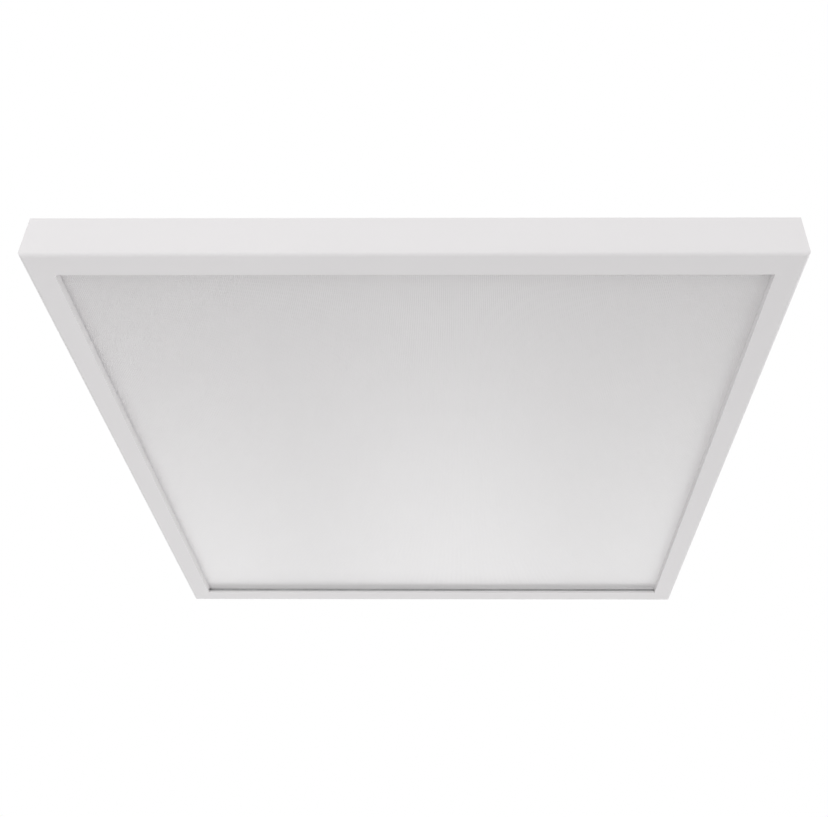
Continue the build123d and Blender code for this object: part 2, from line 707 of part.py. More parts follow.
# The two boards are linked by a lead along the module's near rail
with BuildPart() as board_link_lead:
    link_x = LED_BOARD_FACE - 0.2
    link_y = -MODULE_HALF + MODULE_WALL + LINK_RADIUS + 0.9
    board_end = -LED_BOARD_LENGTH / 2
    with BuildLine() as link_route:
        FilletPolyline(
            (link_x, board_end, LED_Z),
            (link_x, link_y, LED_Z),
            (-link_x, link_y, LED_Z),
            (-link_x, board_end, LED_Z),
            radius=LINK_BEND,
        )
    with BuildSketch(Plane(origin=link_route.line @ 0, z_dir=link_route.line % 0)):
        Circle(LINK_RADIUS)
    sweep()
save(board_link_lead.part, "board_link_lead")

# Driver housing: base, cover and a hinged cover over the terminal chamber

with BuildPart() as driver_base:
    block((DRIVER_LEFT, DRIVER_NEAR, DRIVER_FLOOR), (DRIVER_RIGHT, DRIVER_FAR, SPLIT_Z))
    fillet(driver_base.edges().filter_by(Axis.Z), DRIVER_CORNER)
    cavities = (
        (DRIVER_LEFT + DRIVER_WALL, CHAMBER_END - DRIVER_WALL),
        (CHAMBER_END, DRIVER_RIGHT - DRIVER_WALL),
    )
    for cavity_left, cavity_right in cavities:
        block(
            (cavity_left, DRIVER_NEAR + DRIVER_WALL, INSIDE_FLOOR),
            (cavity_right, DRIVER_FAR - DRIVER_WALL, SPLIT_Z),
            mode=Mode.SUBTRACT,
        )
    block(
        (DRIVER_LEFT, DRIVER_Y - INLET_WIDTH / 2, INLET_BOTTOM),
        (DRIVER_LEFT + DRIVER_WALL, DRIVER_Y + INLET_WIDTH / 2, SPLIT_Z),
        mode=Mode.SUBTRACT,
    )
    rod(OUTLET_START, OUTLET_END, OUTLET_RADIUS, Mode.SUBTRACT)
    for pole_y in POLES.values():
        block(
            (CHAMBER_END - 2 * DRIVER_WALL, pole_y - CONTACT_WIDTH / 2 - 0.2, CAVITY_FLOOR - 0.1),
            (CHAMBER_END + 1, pole_y + CONTACT_WIDTH / 2 + 0.2, CAVITY_FLOOR + CONTACT_THICKNESS + 0.2),
            mode=Mode.SUBTRACT,
        )
    for direction in SIDES.values():
        with Locations((direction * FOOT_SCREW_X, DRIVER_Y, DRIVER_FLOOR + FOOT_THICKNESS / 2)):
            Box(FOOT_LENGTH, FOOT_WIDTH, FOOT_THICKNESS)
    with Locations(*[(x, y, DRIVER_FLOOR) for x, y in foot_screw_places]):
        Cylinder(FOOT_SCREW_RADIUS + 0.2, 4 * FOOT_THICKNESS, mode=Mode.SUBTRACT)
    with Locations((BOARD_X, DRIVER_Y, INSIDE_FLOOR)):
        with GridLocations(BOARD_LENGTH - 12, BOARD_WIDTH - 8, 2, 2):
            Cylinder(BOARD_POST_RADIUS, BOARD_RAISE, align=STANDING)
    with Locations((CLAMP_X, DRIVER_Y, INSIDE_FLOOR)):
        Box(SADDLE_LENGTH, SADDLE_WIDTH, SADDLE_HEIGHT, align=STANDING)
        with GridLocations(1, CLAMP_POST_SPACING, 1, 2):
            Cylinder(CLAMP_POST_RADIUS, CLAMP_POST_HEIGHT, align=STANDING)
    with Locations((CLAMP_X, DRIVER_Y, CLAMP_Z)):
        with GridLocations(1, CLAMP_POST_SPACING, 1, 2):
            Hole(CLAMP_SCREW_RADIUS + 0.05, depth=CLAMP_SCREW_LENGTH - 1)
save(driver_base.part, "driver_base")

with BuildPart() as driver_cover:
    block((CHAMBER_END, DRIVER_NEAR, SPLIT_Z), (DRIVER_RIGHT, DRIVER_FAR, DRIVER_TOP))
    fillet(driver_cover.edges().filter_by(Axis.Z).group_by(Axis.X)[-1], DRIVER_CORNER)
    fillet(driver_cover.faces().sort_by(Axis.Z)[-1].edges().filter_by(Axis.X), COVER_ROUNDING)
    block(
        (CHAMBER_END + DRIVER_WALL, DRIVER_NEAR + DRIVER_WALL, SPLIT_Z),
        (DRIVER_RIGHT - DRIVER_WALL, DRIVER_FAR - DRIVER_WALL, DRIVER_TOP - DRIVER_WALL),
        mode=Mode.SUBTRACT,
    )
    rod(OUTLET_START, OUTLET_END, OUTLET_RADIUS, Mode.SUBTRACT)
    for ear_near in (DRIVER_NEAR, DRIVER_FAR - DRIVER_WALL):
        block((EAR_X, ear_near, SPLIT_Z + 0.2), (CHAMBER_END, ear_near + DRIVER_WALL, DRIVER_TOP))
    upper_ear_edges = driver_cover.edges().filter_by(Axis.Y).group_by(Axis.X)[0].group_by(Axis.Z)[-1]
    fillet(upper_ear_edges, 2 * COVER_ROUNDING)
    rod(
        (HINGE_X, DRIVER_NEAR - 1, HINGE_Z),
        (HINGE_X, DRIVER_FAR + 1, HINGE_Z),
        HINGE_PIN + HINGE_RUNNING_GAP,
        Mode.SUBTRACT,
    )
save(driver_cover.part, "driver_cover")

with BuildPart() as terminal_cover:
    skirt_end = EAR_X - HINGE_SIDE_GAP
    skirt_bottom = SPLIT_Z + 0.1
    neck_near = DRIVER_NEAR + DRIVER_WALL + HINGE_SIDE_GAP
    neck_far = DRIVER_FAR - DRIVER_WALL - HINGE_SIDE_GAP
    block((DRIVER_LEFT, DRIVER_NEAR, skirt_bottom), (skirt_end, DRIVER_FAR, DRIVER_TOP))
    fillet(terminal_cover.edges().filter_by(Axis.Z).group_by(Axis.X)[0], DRIVER_CORNER)
    fillet(terminal_cover.faces().sort_by(Axis.Z)[-1].edges().filter_by(Axis.X), COVER_ROUNDING)
    block(
        (DRIVER_LEFT + DRIVER_WALL, DRIVER_NEAR + DRIVER_WALL, skirt_bottom),
        (skirt_end, DRIVER_FAR - DRIVER_WALL, DRIVER_TOP - DRIVER_WALL),
        mode=Mode.SUBTRACT,
    )
    block((skirt_end - 1, neck_near, DRIVER_TOP - DRIVER_WALL), (HINGE_X, neck_far, DRIVER_TOP))
    block(
        (DRIVER_LEFT, DRIVER_Y - INLET_WIDTH / 2, skirt_bottom),
        (DRIVER_LEFT + DRIVER_WALL, DRIVER_Y + INLET_WIDTH / 2, INLET_TOP),
        mode=Mode.SUBTRACT,
    )
    rod((HINGE_X, neck_near, HINGE_Z), (HINGE_X, neck_far, HINGE_Z), HINGE_RADIUS)
    rod((HINGE_X, DRIVER_NEAR + 0.2, HINGE_Z), (HINGE_X, DRIVER_FAR - 0.2, HINGE_Z), HINGE_PIN)
save(terminal_cover.part, "terminal_cover")

foot_screw = pan_screw(FOOT_SCREW_RADIUS, FOOT_SCREW_LENGTH, FOOT_SCREW_HEAD, FOOT_SCREW_HEAD_HEIGHT)
with BuildPart() as driver_screws:
    with Locations(*[(x, y, DRIVER_FLOOR + FOOT_THICKNESS) for x, y in foot_screw_places]):
        add(foot_screw)
save(driver_screws.part, "driver_screws")

# Terminal chamber: push-in block with three poles, and the clamp that holds the supply cable

with BuildPart() as terminal_block:
    with Locations((BLOCK_X, DRIVER_Y, INSIDE_FLOOR)):
        Box(BLOCK_LENGTH, BLOCK_WIDTH, BLOCK_HEIGHT, align=STANDING)
    fillet(terminal_block.edges().group_by(Axis.Z)[-1], 0.6)
    for pole_y in POLES.values():
        block(
            (BLOCK_X - POLE_CAVITY_LENGTH / 2, pole_y - POLE_CAVITY_WIDTH / 2, CAVITY_FLOOR),
            (BLOCK_X + POLE_CAVITY_LENGTH / 2, pole_y + POLE_CAVITY_WIDTH / 2, CAVITY_TOP),
            mode=Mode.SUBTRACT,
        )
        bar_room = CONTACT_WIDTH / 2 + 0.1
        block(
            (BLOCK_X, pole_y - bar_room, CAVITY_FLOOR),
            (BLOCK_X + BLOCK_LENGTH, pole_y + bar_room, CAVITY_FLOOR + CONTACT_THICKNESS + 0.1),
            mode=Mode.SUBTRACT,
        )
        entry = (BLOCK_X - BLOCK_LENGTH, pole_y, ENTRY_Z)
        rod(entry, (BLOCK_X, pole_y, ENTRY_Z), WIRE_HOLE_RADIUS, Mode.SUBTRACT)
        window = (BUTTON_LENGTH + 2 * BUTTON_GAP, BUTTON_WIDTH + 2 * BUTTON_GAP, 4 * BLOCK_ROOF)
        with Locations((BLOCK_X, pole_y, BLOCK_TOP)):
            Box(*window, mode=Mode.SUBTRACT)
save(terminal_block.part, "terminal_block")

for pole, pole_y in POLES.items():
    with BuildPart() as button:
        with Locations((BLOCK_X, pole_y, BUTTON_TOP)):
            Box(BUTTON_LENGTH, BUTTON_WIDTH, BUTTON_HEIGHT, align=HANGING)
        fillet(button.edges().group_by(Axis.Z)[-1], 0.4)
        with Locations((BLOCK_X, pole_y, BUTTON_TOP)):
            Box(BUTTON_LENGTH * 0.6, 0.8, 1.2, mode=Mode.SUBTRACT)
        with Locations((BLOCK_X, pole_y, CAVITY_TOP - BUTTON_GAP)):
            Box(BUTTON_LENGTH + 1.6, BUTTON_WIDTH + 1.4, 1.0, align=HANGING)
    save(button.part, f"{pole}_button")

with BuildPart() as contact_clamps:
    for pole_y in POLES.values():
        with BuildSketch(Plane.XZ.offset(-pole_y)):
            with BuildLine() as leaf:
                Polyline(
                    (BLOCK_X - 3.8, CAVITY_FLOOR + 0.8),
                    (BLOCK_X + 2.6, CAVITY_FLOOR + 0.8),
                    (BLOCK_X + 3.8, CAVITY_FLOOR + 2.2),
                    (BLOCK_X + 3.0, CAVITY_FLOOR + 3.6),
                    (BLOCK_X - 2.6, CAVITY_FLOOR + 4.4),
                )
            trace(leaf.line, line_width=LEAF_THICKNESS)
        extrude(amount=CONTACT_WIDTH / 2, both=True)
save(contact_clamps.part, "contact_clamps")

with BuildPart() as contact_bars:
    for pole_y in POLES.values():
        block(
            (BLOCK_X - POLE_CAVITY_LENGTH / 2 + 0.2, pole_y - CONTACT_WIDTH / 2, CAVITY_FLOOR),
            (BOARD_X - BOARD_LENGTH / 2 + 2, pole_y + CONTACT_WIDTH / 2, CAVITY_FLOOR + CONTACT_THICKNESS),
        )
save(contact_bars.part, "contact_bars")

with BuildPart() as cord_clamp:
    with Locations((CLAMP_X, DRIVER_Y, CLAMP_Z)):
        Box(CLAMP_LENGTH, CLAMP_WIDTH, CLAMP_THICKNESS, align=STANDING)
    fillet(cord_clamp.edges().filter_by(Axis.Z), CLAMP_POST_RADIUS - 0.5)
    with Locations((CLAMP_X, DRIVER_Y, CLAMP_Z)):
        with GridLocations(1, CLAMP_POST_SPACING, 1, 2):
            Cylinder(CLAMP_SCREW_RADIUS + 0.2, 3 * CLAMP_THICKNESS, mode=Mode.SUBTRACT)
save(cord_clamp.part, "cord_clamp")

clamp_screw = pan_screw(CLAMP_SCREW_RADIUS, CLAMP_SCREW_LENGTH, CLAMP_SCREW_HEAD, CLAMP_SCREW_HEAD_HEIGHT)
with BuildPart() as cord_clamp_screws:
    with Locations((CLAMP_X, DRIVER_Y, CLAMP_SCREW_Z)):
        with GridLocations(1, CLAMP_POST_SPACING, 1, 2):
            add(clamp_screw)
save(cord_clamp_screws.part, "cord_clamp_screws")

# Driver electronics

with BuildPart() as driver_board:
    with Locations((BOARD_X, DRIVER_Y, BOARD_Z)):
        Box(BOARD_LENGTH, BOARD_WIDTH, BOARD_THICKNESS, align=STANDING)
save(driver_board.part, "driver_board")

transformer_x = BOARD_X + 4.0
with BuildPart() as transformer_core:
    with Locations((transformer_x, DRIVER_Y, BOARD_TOP)):
        Box(CORE_LENGTH, CORE_WIDTH, CORE_HEIGHT, align=STANDING)
    window_height = CORE_HEIGHT - 2 * CORE_YOKE
    window_length = (CORE_LENGTH - CORE_MIDDLE_LIMB) / 2 - CORE_OUTER_LIMB
    with Locations((transformer_x, DRIVER_Y, BOARD_TOP + CORE_YOKE)):
        with GridLocations(CORE_MIDDLE_LIMB + window_length, 1, 2, 1):
            Box(window_length, CORE_WIDTH, window_height, align=STANDING, mode=Mode.SUBTRACT)
save(transformer_core.part, "transformer_core")

with BuildPart() as transformer_winding:
    with BuildSketch(Plane.XY.offset(BOARD_TOP + CORE_YOKE + 0.2)):
        with Locations((transformer_x, DRIVER_Y)):
            RectangleRounded(WINDING_LENGTH, WINDING_WIDTH, WINDING_CORNER)
            Rectangle(CORE_MIDDLE_LIMB + 0.2, CORE_WIDTH + 0.2, mode=Mode.SUBTRACT)
    extrude(amount=window_height - 0.4)
save(transformer_winding.part, "transformer_winding")

with BuildPart() as board_choke:
    choke_x = BOARD_X - 38
    with Locations((choke_x, DRIVER_Y, BOARD_TOP)):
        Cylinder(CHOKE_WAIST, CHOKE_HEIGHT, align=STANDING)
        Cylinder(CHOKE_RADIUS, CHOKE_CHEEK, align=STANDING)
    with Locations((choke_x, DRIVER_Y, BOARD_TOP + CHOKE_HEIGHT)):
        Cylinder(CHOKE_RADIUS, CHOKE_CHEEK, align=HANGING)
save(board_choke.part, "board_choke")

# Bulk capacitors beside the choke and a smoothing capacitor near the output
with BuildPart() as board_capacitors:
    with Locations((BOARD_X - 22, DRIVER_Y, BOARD_TOP)):
        with GridLocations(1, 16, 1, 2):
            Cylinder(BULK_CAPACITOR_RADIUS, BULK_CAPACITOR_HEIGHT, align=STANDING)
    with Locations((BOARD_X + 26, DRIVER_Y - 9, BOARD_TOP)):
        Cylinder(OUTPUT_CAPACITOR_RADIUS, OUTPUT_CAPACITOR_HEIGHT, align=STANDING)
    rims = board_capacitors.edges().filter_by(GeomType.CIRCLE)
    fillet(rims.filter_by(lambda rim: rim.center().Z > BOARD_TOP + 1), 0.8)
save(board_capacitors.part, "board_capacitors")

# Low-voltage side: lead out of the driver, connector, and the thin lead into the module

with BuildPart() as lead_grommet:
    with BuildSketch(Plane.XZ.offset(-DRIVER_Y)):
        wall_inner = DRIVER_RIGHT - DRIVER_WALL
        flange_start = wall_inner - OUTLET_FLANGE_LENGTH
        flange_end = DRIVER_RIGHT + OUTLET_FLANGE_LENGTH
        sleeve_end = DRIVER_RIGHT + OUTLET_SLEEVE_LENGTH
        bore_top = SPLIT_Z + DRIVER_LEAD_RADIUS + BORE_GAP
        neck_top = SPLIT_Z + OUTLET_RADIUS - BORE_GAP
        flange_top = SPLIT_Z + OUTLET_FLANGE
        with BuildLine():
            Polyline(
                (flange_start, bore_top),
                (flange_start, flange_top),
                (wall_inner, flange_top),
                (wall_inner, neck_top),
                (DRIVER_RIGHT, neck_top),
                (DRIVER_RIGHT, flange_top),
                (flange_end, flange_top),
                (sleeve_end, SPLIT_Z + OUTLET_SLEEVE_TIP),
                (sleeve_end, bore_top),
                close=True,
            )
        make_face()
    revolve(axis=Axis(origin=(0, DRIVER_Y, SPLIT_Z), direction=(1, 0, 0)))
save(lead_grommet.part, "lead_grommet")

with BuildPart() as driver_lead:
    with BuildLine() as driver_lead_route:
        FilletPolyline(
            (DRIVER_RIGHT - 9, DRIVER_Y, SPLIT_Z),
            (DRIVER_RIGHT + 19, DRIVER_Y, SPLIT_Z),
            (CONNECTOR_X - 38, DRIVER_Y, CONNECTOR_Z),
            (CONNECTOR_X - CONNECTOR_HALF + TAIL_BORE_LENGTH, DRIVER_Y, CONNECTOR_Z),
            radius=40.0,
        )
    with BuildSketch(Plane(origin=driver_lead_route.line @ 0, z_dir=driver_lead_route.line % 0)):
        Circle(DRIVER_LEAD_RADIUS)
    sweep()
save(driver_lead.part, "driver_lead")


def connector_half(lead_radius, direction):
    """One half of the round in-line connector, in the open part. Its mating face is at CONNECTOR_X."""
    tail_x = CONNECTOR_X + direction * CONNECTOR_HALF
    bore_end = tail_x - direction * TAIL_BORE_LENGTH
    shoulder_x = tail_x - direction * TAIL_TAPER_LENGTH
    bore_top = CONNECTOR_Z + lead_radius + BORE_GAP
    with BuildSketch(Plane.XZ.offset(-DRIVER_Y)) as section:
        with BuildLine():
            Polyline(
                (CONNECTOR_X, CONNECTOR_Z),
                (CONNECTOR_X, CONNECTOR_Z + CONNECTOR_RADIUS),
                (shoulder_x, CONNECTOR_Z + CONNECTOR_RADIUS),
                (tail_x, CONNECTOR_Z + lead_radius + TAIL_WALL),
                (tail_x, bore_top),
                (bore_end, bore_top),
                (bore_end, CONNECTOR_Z),
                close=True,
            )
        make_face()
    revolve(section.sketch, axis=Axis(origin=(0, DRIVER_Y, CONNECTOR_Z), direction=(1, 0, 0)))


with BuildPart() as lead_plug:
    connector_half(DRIVER_LEAD_RADIUS, -1)
    spigot_end = (CONNECTOR_X + SPIGOT_LENGTH, DRIVER_Y, CONNECTOR_Z)
    rod((CONNECTOR_X - 1, DRIVER_Y, CONNECTOR_Z), spigot_end, SPIGOT_RADIUS)
save(lead_plug.part, "lead_plug")

with BuildPart() as lead_socket:
    connector_half(PANEL_LEAD_RADIUS, 1)
    socket_end = (CONNECTOR_X + SPIGOT_LENGTH + 0.5, DRIVER_Y, CONNECTOR_Z)
    rod((CONNECTOR_X, DRIVER_Y, CONNECTOR_Z), socket_end, SPIGOT_RADIUS + 0.1, Mode.SUBTRACT)
save(lead_socket.part, "lead_socket")

with BuildPart() as panel_lead:
    tail = CONNECTOR_X + CONNECTOR_HALF
    with BuildLine() as panel_lead_route:
        FilletPolyline(
            (tail - TAIL_BORE_LENGTH, DRIVER_Y, CONNECTOR_Z),
            (tail + 12, DRIVER_Y, CONNECTOR_Z),
            (tail + 30, DRIVER_Y, PANEL_LEAD_Z),
            (tail + 62, DRIVER_Y, PANEL_LEAD_Z),
            (tail + 88, GROMMET_Y, PANEL_LEAD_Z),
            (GROMMET_X, GROMMET_Y, PANEL_LEAD_Z),
            (GROMMET_X, GROMMET_Y, UNDER_FLANGE_Z),
            (LED_BOARD_FACE, GROMMET_Y, UNDER_FLANGE_Z),
            radius=(25.0, 25.0, 30.0, 20.0, 1.9, 1.9),
        )
    with BuildSketch(Plane(origin=panel_lead_route.line @ 0, z_dir=panel_lead_route.line % 0)):
        Circle(PANEL_LEAD_RADIUS)
    sweep()
save(panel_lead.part, "panel_lead")

with BuildPart() as plate_grommet:
    with Locations((GROMMET_X, GROMMET_Y, MODULE_TOP)):
        Cylinder(GROMMET_RADIUS - BORE_GAP, BACK_PLATE_THICKNESS, align=HANGING)
        Cylinder(GROMMET_BORE, 4 * BACK_PLATE_THICKNESS, mode=Mode.SUBTRACT)
    with Locations((GROMMET_X, GROMMET_Y, PLATE_Z)):
        Cylinder(GROMMET_RADIUS + GROMMET_RIM, GROMMET_RIM_HEIGHT, align=HANGING)
        Cylinder(GROMMET_BORE, 4 * GROMMET_RIM_HEIGHT, mode=Mode.SUBTRACT)
save(plate_grommet.part, "plate_grommet")

with BuildPart() as lead_clips:
    for clip_x, clip_y in CLIP_PLACES:
        with Locations((clip_x, clip_y, DRIVER_FLOOR)):
            Box(CLIP_LENGTH, CLIP_WIDTH, CLIP_HEIGHT, align=STANDING)
    fillet(lead_clips.edges().filter_by(Axis.X).group_by(Axis.Z)[-1], CLIP_ROUNDING)
    clip_bore = PANEL_LEAD_RADIUS + BORE_GAP
    for clip_x, clip_y in CLIP_PLACES:
        with Locations((clip_x, clip_y, PANEL_LEAD_Z)):
            Box(2 * CLIP_LENGTH, 2 * clip_bore, 2 * PANEL_LEAD_RADIUS, align=HANGING, mode=Mode.SUBTRACT)
        start = (clip_x - CLIP_LENGTH, clip_y, PANEL_LEAD_Z)
        rod(start, (clip_x + CLIP_LENGTH, clip_y, PANEL_LEAD_Z), clip_bore, Mode.SUBTRACT)
save(lead_clips.part, "lead_clips")
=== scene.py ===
"""Finishes, small fittings, light and camera for a square LED panel that is screwed to a ceiling.

Metres, +Z up. The ceiling is at Z = 0 and the luminaire hangs below it, with its near side at -Y.
"""

from __future__ import annotations

import json
import logging
import math
from dataclasses import dataclass
from enum import Enum
from typing import Callable, Iterable, Sequence

import bmesh
import bpy
from mathutils import Matrix, Quaternion, Vector

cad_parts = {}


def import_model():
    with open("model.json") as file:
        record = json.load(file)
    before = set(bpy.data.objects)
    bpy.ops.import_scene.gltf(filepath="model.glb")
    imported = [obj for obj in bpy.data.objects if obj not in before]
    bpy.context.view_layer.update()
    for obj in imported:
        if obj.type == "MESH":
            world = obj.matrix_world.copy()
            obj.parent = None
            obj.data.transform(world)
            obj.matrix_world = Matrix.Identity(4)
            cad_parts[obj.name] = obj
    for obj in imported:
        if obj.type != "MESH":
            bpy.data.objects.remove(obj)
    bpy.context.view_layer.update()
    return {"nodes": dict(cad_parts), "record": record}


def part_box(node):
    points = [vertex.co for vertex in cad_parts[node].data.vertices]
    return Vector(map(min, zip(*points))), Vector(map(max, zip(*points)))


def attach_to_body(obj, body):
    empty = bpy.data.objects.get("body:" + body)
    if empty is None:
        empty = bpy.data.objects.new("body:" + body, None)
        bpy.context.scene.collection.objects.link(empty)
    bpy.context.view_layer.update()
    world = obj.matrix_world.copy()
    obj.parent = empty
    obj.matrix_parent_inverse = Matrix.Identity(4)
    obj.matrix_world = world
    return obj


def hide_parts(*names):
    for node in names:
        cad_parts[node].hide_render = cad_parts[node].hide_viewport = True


MM = 0.001
PRISM_PITCH = 1.55 * MM
SHARP = math.radians(35.0)
WHITE = (1.0, 1.0, 1.0, 1.0)
LOG = logging.getLogger("luminaire")

Colour = tuple[float, float, float]
Place = tuple[float, float, float]
Corners = tuple[Vector, Vector]
Socket = bpy.types.NodeSocket


class Texture(Enum):
    """The surface texture that a finish has on top of its colour."""

    POWDER = "powder coat"
    SATIN = "satin coat"
    PLATED = "zinc plating"
    TURNED = "turned metal"
    SPARKED = "spark-eroded plastic"
    MOULDED = "smooth moulding"
    RUBBER = "rubber"
    PRISMS = "prismatic sheet"
    DOTTED = "printed dots"
    CELLS = "foam cells"
    TRACKS = "circuit board"
    WOUND = "wound tape"
    SLEEVE = "capacitor sleeve"


class Graph:
    """Nodes and their links while they are put together."""

    def __init__(self, tree: bpy.types.NodeTree) -> None:
        """Starts with the nodes that the tree already holds.

        Args:
            tree: the node tree to add to.
        """
        self.nodes, self.links = tree.nodes, tree.links

    def first(self, kind: str) -> bpy.types.Node:
        """The first node of a type."""
        return next(node for node in self.nodes if node.type == kind)

    def add(
        self, kind: str, inputs: dict[str | int, object] | None = None, **settings: object
    ) -> bpy.types.Node:
        """Adds a node.

        Args:
            kind: the node's type.
            inputs: a value or a socket to link, for each of its inputs.
            settings: the node's own properties.

        Returns:
            The new node.
        """
        node = self.nodes.new(kind)
        for key, value in settings.items():
            setattr(node, key, value)
        for key, value in (inputs or {}).items():
            if isinstance(value, Socket):
                self.links.new(value, node.inputs[key])
            else:
                node.inputs[key].default_value = value
        return node

    def math(self, operation: str, first: object, second: object = 0.0) -> Socket:
        """One Math node's result."""
        return self.add("ShaderNodeMath", {0: first, 1: second}, operation=operation).outputs[0]


class Shade(Graph):
    """A material's node tree while it is put together."""

    def __init__(self, name: str) -> None:
        """Starts a material with one Principled shader.

        Args:
            name: the material's name.
        """
        self.material = bpy.data.materials.new(name)
        self.material.use_nodes = True
        super().__init__(self.material.node_tree)
        self.shader = self.first("BSDF_PRINCIPLED")
        self.place = self.add("ShaderNodeTexCoord").outputs["Object"]

    def remap(self, value: Socket, low: float, high: float, ends: Sequence[float]) -> Socket:
        """Maps a value's range to another.

        Args:
            value: the socket to map.
            low: the value that becomes the first end.
            high: the value that becomes the second end.
            ends: the two values to map to.

        Returns:
            The mapped value's socket.
        """
        inputs = {"Value": value, "From Min": low, "From Max": high}
        inputs |= {"To Min": ends[0], "To Max": ends[1]}
        return self.add("ShaderNodeMapRange", inputs).outputs["Result"]

    def noise(
        self, size: float, detail: float = 3.0, stretch: Sequence[float] = (1, 1, 1)
    ) -> Socket:
        """Noise with blobs of about the given size.

        Args:
            size: the size of its blobs.
            detail: how many finer octaves it has.
            stretch: how much denser it is along each axis.

        Returns:
            The noise's value.
        """
        mapping = self.add("ShaderNodeMapping", {"Vector": self.place, "Scale": stretch})
        inputs = {"Vector": mapping.outputs["Vector"], "Scale": 1 / size}
        inputs |= {"Detail": detail, "Roughness": 0.55}
        return self.add("ShaderNodeTexNoise", inputs).outputs["Fac"]

    def cells(self, size: float) -> Socket:
        """Distance to the nearest of scattered points, which stand about size apart."""
        inputs = {"Vector": self.place, "Scale": 1 / size}
        return self.add("ShaderNodeTexVoronoi", inputs, feature="F1").outputs["Distance"]

    def axis(self, name: str) -> Socket:
        """One coordinate of the place on the piece."""
        return self.add("ShaderNodeSeparateXYZ", {"Vector": self.place}).outputs[name]

    def grooves(self, name: str, pitch: float) -> Socket:
        """A triangle wave along an axis, from 0 to 1 and back once in each pitch."""
        return self.math("MULTIPLY", self.math("PINGPONG", self.axis(name), pitch / 2), 2 / pitch)

    def dots(self, pitch: float, radius: float) -> Socket:
        """1 inside the dots of a square grid across X and Y, and 0 between them.

        Args:
            pitch: the distance from dot to dot.
            radius: a dot's radius.

        Returns:
            The value's socket.
        """
        parts = [self.math("SUBTRACT", self.grooves(name, 2 * pitch), 0.5) for name in ("X", "Y")]
        squares = [self.math("MULTIPLY", part, part) for part in parts]
        distance = self.math("SQRT", self.math("ADD", *squares))
        return self.math("LESS_THAN", distance, radius / pitch)

    def tint(self, colour: Colour, value: Socket, spread: float) -> None:
        """Varies the base colour a little with a value.

        Args:
            colour: the middle colour.
            value: the value that varies it, about 0 to 1.
            spread: how far the colour goes each way, as a share of it.
        """
        low, high = (
            [min(1.0, part * (1 + way * spread)) for part in colour] for way in (-1, 1)
        )
        self.blend(value, (*low, 1.0), (*high, 1.0))

    def blend(self, value: Socket, low: object, high: object) -> Socket:
        """Links the base colour to a mix of two colours.

        Args:
            value: how much of the second colour shows.
            low: the first colour or a socket.
            high: the second colour or a socket.

        Returns:
            The mixed colour's socket.
        """
        mix = self.add("ShaderNodeMix", {0: value, 6: low, 7: high}, data_type="RGBA")
        self.links.new(mix.outputs[2], self.shader.inputs["Base Color"])
        return mix.outputs[2]

    def roughen(self, middle: float, value: Socket, down: float, up: float) -> None:
        """Varies the roughness with a value, from down below the middle to up above it."""
        result = self.remap(value, 0.3, 0.7, (middle - down, middle + up))
        self.links.new(result, self.shader.inputs["Roughness"])

    def relief(self, *layers: tuple[Socket, float]) -> None:
        """Raises the surface by some heights.

        Args:
            layers: pairs of a height from 0 to 1 and its depth in metres.
        """
        normal = None
        for height, depth in layers:
            inputs: dict[str | int, object] = {"Height": height, "Strength": 1.0, "Distance": depth}
            if normal is not None:
                inputs["Normal"] = normal
            normal = self.add("ShaderNodeBump", inputs).outputs["Normal"]
        self.links.new(normal, self.shader.inputs["Normal"])

    def wear(
        self,
        finish: Finish,
        tint: tuple[Socket, float],
        rough: tuple[Socket, float, float],
        *layers: tuple[Socket, float],
    ) -> None:
        """Makes a finish uneven.

        Args:
            finish: the finish.
            tint: what varies its colour, and by how much.
            rough: what varies its roughness, and by how much down and up.
            layers: the heights and depths for relief.
        """
        self.tint(finish.colour, *tint)
        self.roughen(finish.roughness, *rough)
        self.relief(*layers)


def powder_coat(shade: Shade, finish: Finish) -> None:
    """Orange peel with a fine grit and the faint cloudiness of a sprayed coat."""
    peel, grit, cloud = (shade.noise(size * MM, 2.0) for size in (1.6, 0.35, 60))
    shade.wear(finish, (cloud, 0.012), (grit, 0.05, 0.05), (peel, 0.015 * MM), (grit, 0.004 * MM))


def satin_coat(shade: Shade, finish: Finish) -> None:
    """A thinner coat, on which the sheet's rolling direction still shows a little."""
    peel, rolling = shade.noise(0.9 * MM, 2.0), shade.noise(2 * MM, 3.0, (1, 0.04, 1))
    cloud, layers = shade.noise(90 * MM), ((peel, 0.012 * MM), (rolling, 0.01 * MM))
    shade.wear(finish, (cloud, 0.02), (rolling, 0.06, 0.06), *layers)


def plating(shade: Shade, finish: Finish) -> None:
    """Zinc with a faint spangle, fine rolling lines and dull patches."""
    spangle, lines = shade.cells(2.5 * MM), shade.noise(0.3 * MM, 2.0, (1, 0.05, 1))
    patch = shade.noise(14 * MM)
    layers = ((lines, 0.006 * MM), (patch, 0.02 * MM))
    shade.wear(finish, (spangle, 0.05), (patch, 0.08, 0.12), *layers)


def turning(shade: Shade, finish: Finish) -> None:
    """Bright metal with the marks of rolling or turning and a few dull spots."""
    lines, patch = shade.noise(0.12 * MM, 2.0, (1, 1, 5)), shade.noise(2.5 * MM)
    shade.wear(finish, (patch, 0.06), (patch, 0.06, 0.1), (lines, 0.004 * MM))


def spark_grain(shade: Shade, finish: Finish) -> None:
    """The even matt grain that a spark-eroded mould leaves on plastic."""
    grain, cloud = shade.noise(0.45 * MM), shade.noise(25 * MM)
    shade.wear(finish, (cloud, 0.015), (grain, 0.07, 0.05), (grain, 0.02 * MM))


def smooth_moulding(shade: Shade, finish: Finish) -> None:
    """A plain moulding with faint sink marks."""
    sink, dust = shade.noise(9 * MM, 1.0), shade.noise(0.6 * MM)
    shade.wear(finish, (sink, 0.02), (dust, 0.04, 0.06), (sink, 0.03 * MM))


